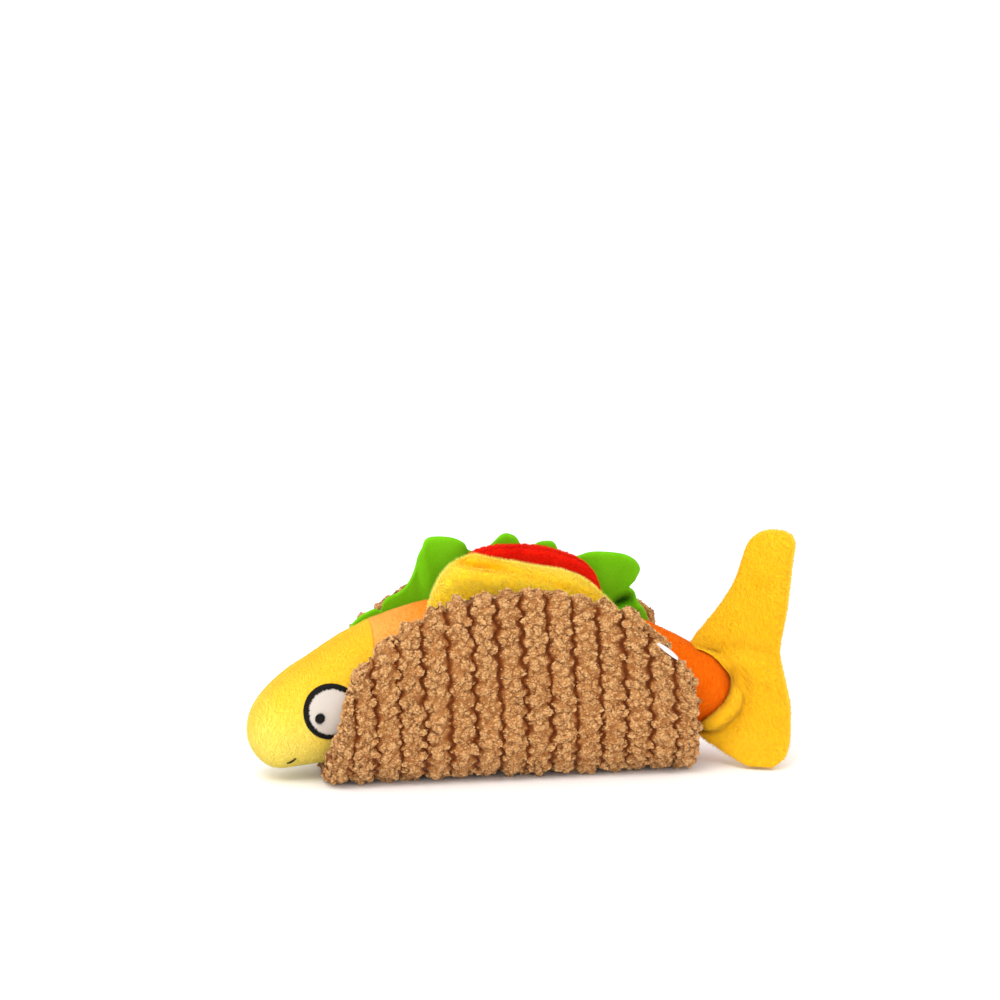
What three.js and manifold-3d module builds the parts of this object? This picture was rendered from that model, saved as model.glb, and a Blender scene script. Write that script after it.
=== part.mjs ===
// A plush squeaky dog toy: a stuffed fish lying in a folded taco shell of ribbed chenille, under
// a cheese slice, a tomato slice and a lettuce leaf.
// Millimetres. +X runs from snout to tail, -Y is the front, +Z is up.
// The origin is the middle of the flat that the folded shell stands on.
import * as THREE from "three";
import { mergeVertices } from "three/addons/utils/BufferGeometryUtils.js";
import Module from "manifold-3d";

const wasm = await Module();
wasm.setup();

const degrees = Math.PI / 180;

// Gaps kept between sewn or touching pieces, and how far a cut runs past what it cuts.
const seamGap = 0.3;
const touchGap = 0.3;
const facetRoom = 0.8; // extra room where a faceted form lies against a round one
const overrun = 6;
const weldTolerance = 1e-3;

// The shell is one oval of chenille cloth folded up round the fish.
const shell = {
  halfLength: 91.5, // half its width along X at the fold
  height: 94.5, // from the floor to the top of a flap, over the ribs' base line
  roundness: 2, // exponent of the flap's D outline
  endHeight: 6, // height of a flap at its very ends
  footHalfWidth: 14.5, // the flat it stands on, before the corners turn up
  cornerRadius: 20,
  cornerTurn: 82 * degrees,
  topTurn: 100 * degrees, // past 90 degrees a flap leans in over the fish
  hingeTurn: 55 * degrees, // where on the corner a flap folds down
  ribLean: -3 * degrees, // the cords of the cloth run a little off square
};
const cloth = {
  ribs: 15,
  ribDepth: 3.5,
  backing: 1.6, // thickness of the cloth under its cords
  footCut: 0.5, // how far the cords are pressed flat under the toy
  rim: 3, // width of the cloth turned over a flap's edge
};
// A small blank ribbon caught in the front flap's edge seam.
const tab = {
  fromEnd: 12.8, // how far its middle is from the shell's end, along the fold
  length: 13,
  showing: 2.2,
  thickness: 1,
};
const padding = 4;
const lining = 1.2;

const fish = {
  snoutX: -126.5,
  length: 240,
  backHeight: 87,
  halfWidth: 26.3,
  snoutRound: 16, // length over which the snout closes
  headSeamX: -69,
  skin: 1.6,
};
// The stuffed tail stalk ends in a dome that turns true about the fin's hinge line.
const stalk = { domeRadius: 18 };
const hingeX = fish.snoutX + fish.length - stalk.domeRadius;

// Shares of the fish's length, and of its back height or half width, read along its outline.
const backShares = [
  [0, 0.5], [0.047, 0.537], [0.088, 0.623], [0.171, 0.783], [0.253, 0.88], [0.364, 0.966],
  [0.5, 1], [0.6235, 0.971], [0.767, 0.863], [0.87, 0.737], [0.926, 0.651],
];
const bellyShares = [
  [0, 0.057], [0.068, 0.057], [0.138, 0.078], [0.171, 0.081], [0.377, 0.08], [0.541, 0.08],
  [0.706, 0.097], [0.829, 0.137], [0.926, 0.177],
];
const widthShares = [
  [0, 0.72], [0.068, 0.8], [0.13, 0.894], [0.253, 0.97], [0.418, 1], [0.541, 0.989],
  [0.665, 0.932], [0.788, 0.817], [0.87, 0.722], [0.926, 0.684],
];

const eye = {
  x: -88.5,
  z: 36,
  radius: 13.7,
  ringWidth: 3,
  thickness: 0.8,
  pupilRadius: 2.5,
  pupilThickness: 0.5,
  pupilX: -93.5,
  pupilZ: 33,
};

// The tail fin, drawn in its own plane: along the fin from the hinge line, and up from the floor.
const fin = {
  reach: 48.6,
  height: 116,
  halfThickness: 7.5,
  edgeHalfThickness: 2.2,
  skin: 1.4,
  curl: 16, // how far the low lobe sweeps forward where it lies on the floor
  curlShare: 0.36, // share of the height below which it does
  restTurn: -27 * degrees, // it lies a little towards the front
  wag: 25 * degrees, // how far it bends either way from there
};
// From the low tip to the high tip: share of height, then shares of reach at either edge.
const finShares = [
  [0.01, 0.62, 0.84], [0.045, 0.44, 0.92], [0.09, 0.22, 0.945], [0.16, 0.02, 0.955],
  [0.25, 0.02, 0.945], [0.34, 0.02, 0.9], [0.44, 0, 0.85], [0.51, 0, 0.85],
  [0.59, 0.08, 0.89], [0.68, 0.25, 0.93], [0.78, 0.38, 0.96], [0.87, 0.46, 0.98],
  [0.94, 0.52, 1], [0.98, 0.61, 0.96], [1, 0.72, 0.86],
];

const tomato = {
  x: 5,
  y: 5.4,
  z: 55.5,
  radius: 54.5,
  halfThickness: 6,
  footZ: 66,
  skin: 1.3,
  rimShare: 0.86, // share of the radius where the rounded rim begins
};

const cheese = {
  left: -47,
  right: 66,
  footZ: 66,
  wall: 5,
  ridgeZ: 109,
  rollRadius: 6.5,
  backDrop: 9,
  wallY: -17,
  footY: -21.6,
  thinShare: 0.45, // share of its wall that is left at the slice's ends
  rollEndShare: 0.1, // share of its roll that even the lowest ridge keeps
};
// Share of the slice's length, then share of its rise above the foot at its ridge.
const cheeseRidgeShares = [
  [0, 0.3], [0.045, 0.5], [0.09, 0.72], [0.14, 0.9], [0.2, 0.98], [0.29, 1], [0.4, 0.945],
  [0.6, 0.79], [0.7, 0.71], [0.78, 0.6], [0.86, 0.38], [1, 0.2],
];

const lettuce = {
  left: -75,
  right: 75,
  rootZ: 62,
  topZ: 113.5,
  rootY: 23.4,
  tipY: 15,
  thickness: 1.8,
  ruffle: 2.4,
  ruffles: 5,
  rootInset: 3, // how far its root stops short of either end
};
// The frilly free edge: share of the leaf's length, then share of its height above the root.
const frillShares = [
  [0, 0.02], [0.007, 0.1], [0.046, 0.22], [0.096, 0.285], [0.108, 0.26], [0.125, 0.38],
  [0.178, 0.46], [0.217, 0.63], [0.239, 0.87], [0.264, 0.98], [0.33, 0.975], [0.376, 0.92],
  [0.4, 0.83], [0.45, 0.8], [0.49, 0.92], [0.528, 1], [0.56, 0.93], [0.59, 0.83],
  [0.655, 0.9], [0.7, 0.74], [0.755, 0.735], [0.805, 0.78], [0.857, 0.78], [0.913, 0.75],
  [0.951, 0.685], [0.969, 0.585], [0.957, 0.505], [0.935, 0.41], [0.959, 0.28], [1, 0.06],
  [1, 0.02],
];

const squeaker = {
  x: -18,
  z: 46,
  crestRadius: 17.5,
  rootRadius: 14.2,
  folds: 4,
  foldLength: 5,
  wall: 0.9,
  holeRadius: 5,
  flangeRadius: 7,
  flange: 1.5,
  barrel: 6,
  boreRadius: 2.4,
  reedWidth: 3.9,
  reedThickness: 0.5,
  reedLength: 5,
};

const colours = {
  chenille: 0xc99a66,
  lining: 0xb98a5c,
  padding: 0xf1efe8,
  tab: 0xf6f3f2,
  yellow: 0xfbd928,
  finYellow: 0xfdc81e,
  orange: 0xf4700a,
  cheese: 0xffdc30,
  tomato: 0xe00606,
  lettuce: 0x6cc417,
  black: 0x17171a,
  eyeWhite: 0xf7ebe2,
  squeaker: 0xf4f4ef,
};

const fabric = (colour) =>
  new THREE.MeshStandardMaterial({ color: colour, roughness: 0.92, metalness: 0 });
const plastic = (colour) =>
  new THREE.MeshStandardMaterial({ color: colour, roughness: 0.4, metalness: 0 });

// A smooth curve through a table of [place, value] rows, as a function of place.
function smoothLine(rows) {
  const slope = (i) => {
    const a = rows[Math.max(i - 1, 0)];
    const b = rows[Math.min(i + 1, rows.length - 1)];
    return (b[1] - a[1]) / (b[0] - a[0]);
  };
  return (place) => {
    let i = 0;
    while (i < rows.length - 2 && place > rows[i + 1][0]) i += 1;
    const [x0, y0] = rows[i];
    const [x1, y1] = rows[i + 1];
    const w = x1 - x0;
    const t = THREE.MathUtils.clamp((place - x0) / w, 0, 1);
    const near = (1 + 2 * t) * (1 - t) ** 2 * y0 + t * (1 - t) ** 2 * w * slope(i);
    const far = t * t * (3 - 2 * t) * y1 + t * t * (t - 1) * w * slope(i + 1);
    return near + far;
  };
}

// Welds a geometry into one closed body with its faces pointing out.
function closed(source) {
  const flat = source.index ? source.toNonIndexed() : source;
  const bare = new THREE.BufferGeometry();
  bare.setAttribute("position", flat.getAttribute("position"));
  const welded = mergeVertices(bare, weldTolerance);
  const index = welded.index.array;
  const kept = [];
  for (let i = 0; i < index.length; i += 3) {
    const [a, b, c] = [index[i], index[i + 1], index[i + 2]];
    if (a !== b && b !== c && c !== a) kept.push(a, b, c);
  }
  const at = (i) => new THREE.Vector3().fromBufferAttribute(welded.attributes.position, i);
  let volume = 0;
  for (let i = 0; i < kept.length; i += 3) {
    volume += at(kept[i]).dot(at(kept[i + 1]).cross(at(kept[i + 2])));
  }
  if (volume < 0) kept.reverse();
  welded.setIndex(kept);
  return welded;
}

function solidOf(geometry) {
  const vertProperties = new Float32Array(geometry.attributes.position.array);
  const triVerts = new Uint32Array(geometry.index.array);
  return new wasm.Manifold(new wasm.Mesh({ numProp: 3, vertProperties, triVerts }));
}

function geometryOf(solid) {
  const mesh = solid.getMesh();
  const geometry = new THREE.BufferGeometry();
  geometry.setAttribute("position", new THREE.BufferAttribute(mesh.vertProperties, 3));
  geometry.setIndex(new THREE.BufferAttribute(mesh.triVerts, 1));
  return geometry;
}

function cut(body, ...tools) {
  const left = tools.reduce((solid, tool) => solid.subtract(solidOf(tool)), solidOf(body));
  return geometryOf(left);
}

// The two triangles of each cell of a grid of points.
function gridFaces(columns, rows, point) {
  const faces = [];
  for (let i = 0; i < columns; i += 1) {
    for (let j = 0; j < rows; j += 1) {
      const [a, b, c, d] = [point(i, j), point(i + 1, j), point(i + 1, j + 1), point(i, j + 1)];
      faces.push([a, b, c], [a, c, d]);
    }
  }
  return faces;
}

// Every point round the border of a grid, each with how far round it lies.
function border(columns, rows, point) {
  const loop = [];
  for (let i = 0; i < columns; i += 1) loop.push([i / columns, point(i, 0)]);
  for (let j = 0; j < rows; j += 1) loop.push([1 + j / rows, point(columns, j)]);
  for (let i = columns; i > 0; i -= 1) loop.push([3 - i / columns, point(i, rows)]);
  for (let j = rows; j > 0; j -= 1) loop.push([4 - j / rows, point(0, j)]);
  loop.push([4, point(0, 0)]);
  return loop;
}

function geometryOfFaces(faces) {
  const geometry = new THREE.BufferGeometry();
  const numbers = new Float32Array(faces.flat(2).flatMap((p) => p.toArray()));
  geometry.setAttribute("position", new THREE.BufferAttribute(numbers, 3));
  return closed(geometry);
}

// A padded or plain sheet: two faces, each a grid of its own fineness, closed all round its border.
function sheet(outer, inner) {
  const faces = gridFaces(outer.columns, outer.rows, outer.point);
  for (const [a, b, c] of gridFaces(inner.columns, inner.rows, inner.point)) faces.push([a, c, b]);
  const out = border(outer.columns, outer.rows, outer.point);
  const back = border(inner.columns, inner.rows, inner.point);
  let [i, j] = [0, 0];
  while (i < out.length - 1 || j < back.length - 1) {
    const outNext = i < out.length - 1 && (j === back.length - 1 || out[i + 1][0] <= back[j + 1][0]);
    if (outNext) faces.push([out[i + 1][1], out[i][1], back[j][1]]);
    else faces.push([out[i][1], back[j][1], back[j + 1][1]]);
    if (outNext) i += 1;
    else j += 1;
  }
  return geometryOfFaces(faces);
}

// A stuffed body through rings of points that close to a point at both ends.
function stuffed(stations, around, ringPoint) {
  const faces = gridFaces(stations, around, (i, j) => ringPoint(i, ((j % around) / around) * 2 * Math.PI));
  return geometryOfFaces(faces);
}

function named(name, geometry, material) {
  const mesh = new THREE.Mesh(geometry, material);
  mesh.name = name;
  return mesh;
}

// The folded shell

const baseZ = cloth.ribDepth - cloth.footCut;
const cornerEnd = shell.footHalfWidth + shell.cornerRadius * shell.cornerTurn;
const cornerTopZ = baseZ + shell.cornerRadius * (1 - Math.cos(shell.cornerTurn));
// The side's wide curve takes up the height that the corner leaves.
const sideRise = Math.cos(shell.cornerTurn) - Math.cos(shell.topTurn);
const sideRadius = (shell.height - cornerTopZ) / sideRise;
const clothReach = cornerEnd + sideRadius * (shell.topTurn - shell.cornerTurn);
const hingeReach = shell.footHalfWidth + shell.cornerRadius * shell.hingeTurn;
const ribPitch = (2 * shell.halfLength) / cloth.ribs;
const rimDepth = cloth.backing + touchGap + padding + facetRoom;
const liningDepth = rimDepth + touchGap;

// Where the cloth lies in the Y-Z plane, a signed distance along it from the middle of the bottom,
// the front being positive, and the direction it faces outward.
function wrap(reach) {
  const side = reach < 0 ? 1 : -1;
  const run = Math.abs(reach);
  let [y, z, turn] = [run, baseZ, 0];
  if (run > shell.footHalfWidth) {
    turn = Math.min((run - shell.footHalfWidth) / shell.cornerRadius, shell.cornerTurn);
    y = shell.footHalfWidth + shell.cornerRadius * Math.sin(turn);
    z = baseZ + shell.cornerRadius * (1 - Math.cos(turn));
  }
  if (run > cornerEnd) {
    turn = shell.cornerTurn + (run - cornerEnd) / sideRadius;
    y += sideRadius * (Math.sin(turn) - Math.sin(shell.cornerTurn));
    z += sideRadius * (Math.cos(shell.cornerTurn) - Math.cos(turn));
  }
  return { y: side * y, z, outY: side * Math.sin(turn), outZ: -Math.cos(turn) };
}

// A point of the shell: along the fold, round the wrap, and in from the cloth's base line.
function shellPoint(along, reach, depth) {
  const { y, z, outY, outZ } = wrap(reach);
  return new THREE.Vector3(along + Math.tan(shell.ribLean) * reach, y - depth * outY, z - depth * outZ);
}

// How far up its side a flap reaches, for the cloth line that crosses the fold at along.
function flapReach(along, side, inset) {
  const halfLength = shell.halfLength - inset;
  const low = hingeReach + shell.endHeight;
  let reach = low;
  for (let i = 0; i < 6; i += 1) {
    const x = Math.min(Math.abs(along + Math.tan(shell.ribLean) * side * reach) / halfLength, 1);
    reach = low + (clothReach - low) * (1 - x ** shell.roundness) ** (1 / shell.roundness);
  }
  return reach - inset;
}

// Each cord of the cloth is a soft half round with a narrow groove on either side.
const cordShares = [0, 0.14, 0.5, 0.86];
function cordPlace(column) {
  const cord = Math.floor(column / cordShares.length);
  const share = cordShares[column % cordShares.length];
  return (cord + share) * ribPitch - shell.halfLength;
}
function cordHeight(column) {
  const off = 2 * cordShares[column % cordShares.length] - 1;
  return cloth.ribDepth * Math.sqrt(1 - off * off);
}
const cordColumns = cloth.ribs * cordShares.length;

// A strip of the wrap between two reaches, from depthOut in to depthIn, with or without cords.
function wrapSheet({ reachAt, rows, from, to, inset, corded }) {
  const half = shell.halfLength - inset;
  const plainColumns = cloth.ribs;
  const plainAlong = (i, columns) => -half + (2 * half * i) / columns;
  const outer = {
    columns: corded ? cordColumns : plainColumns,
    rows: rows.outer,
    point: (i, j) => {
      const along = corded ? cordPlace(i) : plainAlong(i, plainColumns);
      return shellPoint(along, reachAt(along, j / rows.outer), from - (corded ? cordHeight(i) : 0));
    },
  };
  const inner = {
    columns: plainColumns,
    rows: rows.inner,
    point: (i, j) => {
      const along = plainAlong(i, plainColumns);
      return shellPoint(along, reachAt(along, j / rows.inner), to);
    },
  };
  return sheet(outer, inner);
}

function flapSheet(side, options) {
  const low = hingeReach + seamGap / 2 + (options.lowInset ?? 0);
  const reachAt = (along, share) => {
    const high = Math.max(flapReach(along, side, options.inset), low + seamGap);
    return side * (low + share * (high - low));
  };
  return wrapSheet({ ...options, reachAt });
}

function flapPieces(side, word) {
  const whole = flapSheet(side, {
    rows: { outer: 9, inner: 6 }, from: 0, to: rimDepth, inset: 0, corded: true,
  });
  const pocketRows = { outer: 6, inner: 6 };
  const pocket = flapSheet(side, {
    rows: pocketRows, from: cloth.backing, to: rimDepth + overrun, inset: cloth.rim, lowInset: cloth.rim,
  });
  const padInset = cloth.rim + facetRoom;
  const pad = flapSheet(side, {
    rows: pocketRows,
    from: cloth.backing + touchGap,
    to: rimDepth - facetRoom,
    inset: padInset,
    lowInset: padInset,
  });
  const liner = flapSheet(side, {
    rows: pocketRows, from: liningDepth, to: liningDepth + lining, inset: touchGap,
  });
  return [
    named(`shell_${word}_chenille`, cut(whole, pocket), fabric(colours.chenille)),
    named(`shell_${word}_padding`, pad, fabric(colours.padding)),
    named(`shell_${word}_lining`, liner, fabric(colours.lining)),
  ];
}

function tabPiece() {
  const columns = 8;
  const face = (depth) => ({
    columns,
    rows: 1,
    point: (i, j) => {
      const middle = shell.halfLength - tab.fromEnd;
      const along = middle + tab.length * (i / columns - 1 / 2);
      const reach = flapReach(along, 1, 0) + facetRoom + j * tab.showing;
      return shellPoint(along, reach, depth);
    },
  });
  const front = (rimDepth - tab.thickness) / 2;
  return named("seam_tab", sheet(face(front), face(front + tab.thickness)), fabric(colours.tab));
}

function bottomPieces() {
  const low = hingeReach - seamGap / 2;
  const reachAt = (along, share) => low * (2 * share - 1);
  const rows = { outer: 8, inner: 8 };
  const whole = wrapSheet({ reachAt, rows, from: 0, to: cloth.backing, inset: 0, corded: true });
  const floor = new THREE.BoxGeometry(3 * shell.halfLength, 3 * shell.halfLength, overrun);
  floor.translate(0, 0, -overrun / 2);
  const from = cloth.backing + touchGap;
  const liner = wrapSheet({ reachAt, rows, from, to: from + lining, inset: touchGap });
  return [
    named("shell_bottom_chenille", cut(whole, closed(floor)), fabric(colours.chenille)),
    named("shell_bottom_lining", liner, fabric(colours.lining)),
  ];
}

// The fish

const backLine = smoothLine(backShares);
const bellyLine = smoothLine(bellyShares);
const widthLine = smoothLine(widthShares);

// The fish's oval section at x, drawn in by inset all round.
function fishSection(x, inset) {
  const share = (Math.min(x, hingeX) - fish.snoutX) / fish.length;
  const top = backLine(share) * fish.backHeight;
  const bottom = bellyLine(share) * fish.backHeight;
  const snoutRun = (fish.snoutX + fish.snoutRound - x) / (fish.snoutRound - inset);
  const domeRun = (x - hingeX) / (stalk.domeRadius - inset);
  const run = THREE.MathUtils.clamp(Math.max(snoutRun, domeRun, 0), 0, 1);
  const close = Math.sqrt(1 - run * run);
  return {
    middle: (top + bottom) / 2,
    halfHeight: ((top - bottom) / 2 - inset) * close,
    halfWidth: (widthLine(share) * fish.halfWidth - inset) * close,
  };
}

// Stations along the fish from one x to the other, closer together where an end rounds off.
const endSteps = 5;
const middleStep = 16;
function fishStations(inset, from, to) {
  const snout = fish.snoutX + fish.snoutRound;
  const places = [];
  for (let i = 0; i < endSteps; i += 1) {
    places.push(snout - (fish.snoutRound - inset) * Math.cos((i / endSteps) * (Math.PI / 2)));
  }
  const middleSteps = Math.round((hingeX - snout) / middleStep);
  for (let i = 0; i < middleSteps; i += 1) places.push(snout + ((hingeX - snout) * i) / middleSteps);
  for (let i = 0; i <= endSteps; i += 1) {
    places.push(hingeX + (stalk.domeRadius - inset) * Math.sin((i / endSteps) * (Math.PI / 2)));
  }
  const inside = places.filter((x) => x > from + seamGap && x < to - seamGap);
  return [Math.max(from, places[0]), ...inside, Math.min(to, places[places.length - 1])];
}

// One sewn panel of the fish's skin, the front or back half, from one x to another.
function fishPanel(side, from, to) {
  const face = (inset, rows) => {
    const stations = fishStations(inset, from, to);
    return {
      columns: stations.length - 1,
      rows,
      point: (i, j) => {
        const section = fishSection(stations[i], inset);
        const angle = (j / rows) * Math.PI;
        const y = side * (seamGap / 2 + section.halfWidth * Math.sin(angle));
        return new THREE.Vector3(stations[i], y, section.middle + section.halfHeight * Math.cos(angle));
      },
    };
  };
  return sheet(face(0, 10), face(fish.skin, 7));
}

// The whole fish as one body, drawn in by inset, or swollen if that is negative.
function fishBody(inset, around) {
  const stations = fishStations(inset, fish.snoutX - overrun, hingeX + stalk.domeRadius + overrun);
  return stuffed(stations.length - 1, around, (i, angle) => {
    const section = fishSection(stations[i], inset);
    const y = section.halfWidth * Math.sin(angle);
    return new THREE.Vector3(stations[i], y, section.middle + section.halfHeight * Math.cos(angle));
  });
}

// How far the fish's side stands from the middle plane at a place on it.
function fishSide(x, z) {
  const section = fishSection(x, 0);
  const rise = THREE.MathUtils.clamp((z - section.middle) / section.halfHeight, -1, 1);
  return seamGap / 2 + section.halfWidth * Math.sqrt(1 - rise * rise);
}

// A round patch or ring lying on the fish's side, from one height above the skin to another.
function sidePatch(side, x, z, innerRadius, outerRadius, low, high) {
  const around = outerRadius > eye.ringWidth ? 20 : 10;
  const rings = innerRadius > 0 || outerRadius < eye.ringWidth ? 1 : 2;
  const corners = [];
  for (let i = 0; i <= rings; i += 1) corners.push([i / rings, high]);
  for (let i = rings; i >= 0; i -= 1) corners.push([i / rings, low]);
  const faces = gridFaces(around, corners.length, (i, j) => {
    const angle = ((i % around) / around) * 2 * Math.PI;
    const [share, height] = corners[j % corners.length];
    const radius = innerRadius + (outerRadius - innerRadius) * share;
    const px = x + radius * Math.cos(angle);
    const pz = z + radius * Math.sin(angle);
    return new THREE.Vector3(px, side * (fishSide(px, pz) + height), pz);
  });
  return geometryOfFaces(faces);
}

function eyePieces(side, word) {
  const base = touchGap;
  const top = base + eye.thickness;
  const inside = eye.radius - eye.ringWidth;
  const ring = sidePatch(side, eye.x, eye.z, inside, eye.radius, base, top);
  const white = sidePatch(side, eye.x, eye.z, 0, inside - touchGap, base, top);
  const pupilBase = top + touchGap;
  const pupilTop = pupilBase + eye.pupilThickness;
  const pupil = sidePatch(side, eye.pupilX, eye.pupilZ, 0, eye.pupilRadius, pupilBase, pupilTop);
  return [
    named(`eye_ring_${word}`, ring, fabric(colours.black)),
    named(`eye_white_${word}`, white, fabric(colours.eyeWhite)),
    named(`pupil_${word}`, pupil, fabric(colours.black)),
  ];
}

// The squeaker

const bellowsHalf = (squeaker.folds * squeaker.foldLength) / 2;

function bellows() {
  const fold = (wall) => {
    const points = [];
    const end = bellowsHalf - wall;
    for (let i = 0; i < squeaker.folds; i += 1) {
      const y = -bellowsHalf + (i + 0.5) * squeaker.foldLength;
      if (i > 0) points.push([squeaker.rootRadius - wall, y - squeaker.foldLength / 2]);
      points.push([squeaker.crestRadius - wall, y]);
    }
    const root = squeaker.rootRadius - wall;
    return [[root, -end], ...points, [root, end]];
  };
  const outside = fold(0);
  const inside = fold(squeaker.wall).reverse();
  const hole = squeaker.holeRadius;
  const profile = [
    [0, -bellowsHalf], ...outside, [hole, bellowsHalf],
    [hole, bellowsHalf - squeaker.wall], ...inside, [0, squeaker.wall - bellowsHalf],
  ];
  return closed(new THREE.LatheGeometry(profile.map(([r, y]) => new THREE.Vector2(r, y)), 16));
}

function plug() {
  const seat = bellowsHalf + touchGap;
  const barrelRadius = squeaker.holeRadius - touchGap;
  const profile = [
    [squeaker.boreRadius, seat - squeaker.barrel], [barrelRadius, seat - squeaker.barrel],
    [barrelRadius, seat], [squeaker.flangeRadius, seat], [squeaker.flangeRadius, seat + squeaker.flange],
    [squeaker.boreRadius, seat + squeaker.flange], [squeaker.boreRadius, seat - squeaker.barrel],
  ];
  return closed(new THREE.LatheGeometry(profile.map(([r, y]) => new THREE.Vector2(r, y)), 16));
}

function squeakerPieces() {
  const reed = new THREE.BoxGeometry(squeaker.reedWidth, squeaker.reedLength, squeaker.reedThickness);
  reed.translate(0, bellowsHalf - squeaker.barrel / 2, 0);
  return [
    named("squeaker_bellows", bellows(), plastic(colours.squeaker)),
    named("squeaker_plug", plug(), plastic(colours.squeaker)),
    named("squeaker_reed", closed(reed), plastic(colours.squeaker)),
  ];
}

// The fibre filling of the fish, with the squeaker's pocket left open upwards, as it was put in.
function stuffing() {
  const filled = fishBody(fish.skin + touchGap, 14);
  const radius = squeaker.crestRadius + touchGap;
  const low = -bellowsHalf - touchGap;
  const high = bellowsHalf + squeaker.flange + 2 * touchGap;
  const pocket = new THREE.CylinderGeometry(radius, radius, high - low, 16);
  pocket.translate(squeaker.x, (high + low) / 2, squeaker.z);
  const way = new THREE.BoxGeometry(2 * radius, high - low, fish.backHeight);
  way.translate(squeaker.x, (high + low) / 2, squeaker.z + fish.backHeight / 2);
  return cut(filled, closed(pocket), closed(way));
}

// The tail fin

const finLow = smoothLine(finShares.map(([up, near]) => [up, near]));
const finFar = smoothLine(finShares.map(([up, , far]) => [up, far]));
const finRows = 16;
const finColumns = 6;

// A point of the fin at a share of its height and of its width, drawn in from the sewn edge.
function finPoint(row, column, rows, columns, inset) {
  const low = finShares[0][0];
  const high = finShares[finShares.length - 1][0];
  const insetUp = inset / fin.height;
  const up = low + insetUp + ((high - low - 2 * insetUp) * row) / rows;
  const near = finLow(up) * fin.reach + inset;
  const far = finFar(up) * fin.reach - inset;
  const curl = fin.curl * THREE.MathUtils.clamp(1 - up / fin.curlShare, 0, 1) ** 2;
  return new THREE.Vector3(near + ((far - near) * column) / columns, -curl, up * fin.height);
}

// Half the fin's thickness: full in the middle of each lobe and thin at the sewn edge.
function finHalfThickness(row, column, rows, columns) {
  const across = Math.sqrt(Math.max(1 - (2 * (column / columns) - 1) ** 2, 0));
  const along = Math.sqrt(Math.max(1 - (2 * (row / rows) - 1) ** 4, 0));
  return fin.edgeHalfThickness + (fin.halfThickness - fin.edgeHalfThickness) * across * along;
}

// A layer of the fin between two depths under its puffed skin, on one side or through both.
function finLayer(from, to, inset) {
  const face = (depth) => ({
    columns: finRows,
    rows: finColumns,
    point: (i, j) => finPoint(i, j, finRows, finColumns, inset).add(new THREE.Vector3(0, depth(i, j), 0)),
  });
  return sheet(face(from), face(to));
}

// The room that the tail stalk takes up inside the fin, which wags about its end.
function stalkRoom() {
  return [-fin.wag, 0, fin.wag].map((wag) => {
    const room = fishBody(-facetRoom, 14);
    room.translate(-hingeX, 0, 0);
    room.rotateZ(-fin.restTurn - wag);
    return room;
  });
}

function finPieces() {
  const socket = stalkRoom();
  const thickness = (i, j) => finHalfThickness(i, j, finRows, finColumns);
  const panel = (side) =>
    finLayer(
      (i, j) => side * thickness(i, j),
      (i, j) => side * Math.max(thickness(i, j) - fin.skin, seamGap / 2),
      0,
    );
  const fillEdge = (i, j) => Math.max(thickness(i, j) - fin.skin - touchGap, seamGap);
  const fill = finLayer((i, j) => -fillEdge(i, j), (i, j) => fillEdge(i, j), fin.skin + touchGap);
  return [
    named("tail_fin_front", cut(panel(-1), ...socket), fabric(colours.finYellow)),
    named("tail_fin_back", cut(panel(1), ...socket), fabric(colours.finYellow)),
    named("tail_fin_stuffing", cut(fill, ...socket), fabric(colours.padding)),
  ];
}

// The fillings

function tomatoPieces() {
  const lens = (inset) => {
    const radius = tomato.radius - inset;
    const half = tomato.halfThickness - inset;
    const flat = radius * tomato.rimShare;
    const points = [new THREE.Vector2(0, -half)];
    for (let i = 0; i <= 4; i += 1) {
      const angle = ((i / 4) * 2 - 1) * (Math.PI / 2);
      points.push(new THREE.Vector2(flat + (radius - flat) * Math.cos(angle), half * Math.sin(angle)));
    }
    points.push(new THREE.Vector2(0, half));
    const slice = new THREE.LatheGeometry(points, 32);
    slice.translate(tomato.x, tomato.y, tomato.z);
    return closed(slice);
  };
  const half = (side) => {
    const box = new THREE.BoxGeometry(4 * tomato.radius, 4 * tomato.radius, 4 * tomato.radius);
    box.translate(tomato.x, tomato.y + side * (2 * tomato.radius - seamGap / 2), tomato.z);
    return closed(box);
  };
  const below = new THREE.BoxGeometry(4 * tomato.radius, 4 * tomato.radius, 2 * tomato.radius);
  below.translate(tomato.x, tomato.y, tomato.footZ - tomato.radius);
  const seat = [fishBody(-touchGap - facetRoom, 24), closed(below)];
  const skin = (side) => cut(lens(0), lens(tomato.skin), half(-side), ...seat);
  return [
    named("tomato_front", skin(-1), fabric(colours.tomato)),
    named("tomato_back", skin(1), fabric(colours.tomato)),
    named("tomato_stuffing", cut(lens(tomato.skin + touchGap), ...seat), fabric(colours.padding)),
  ];
}

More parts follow.
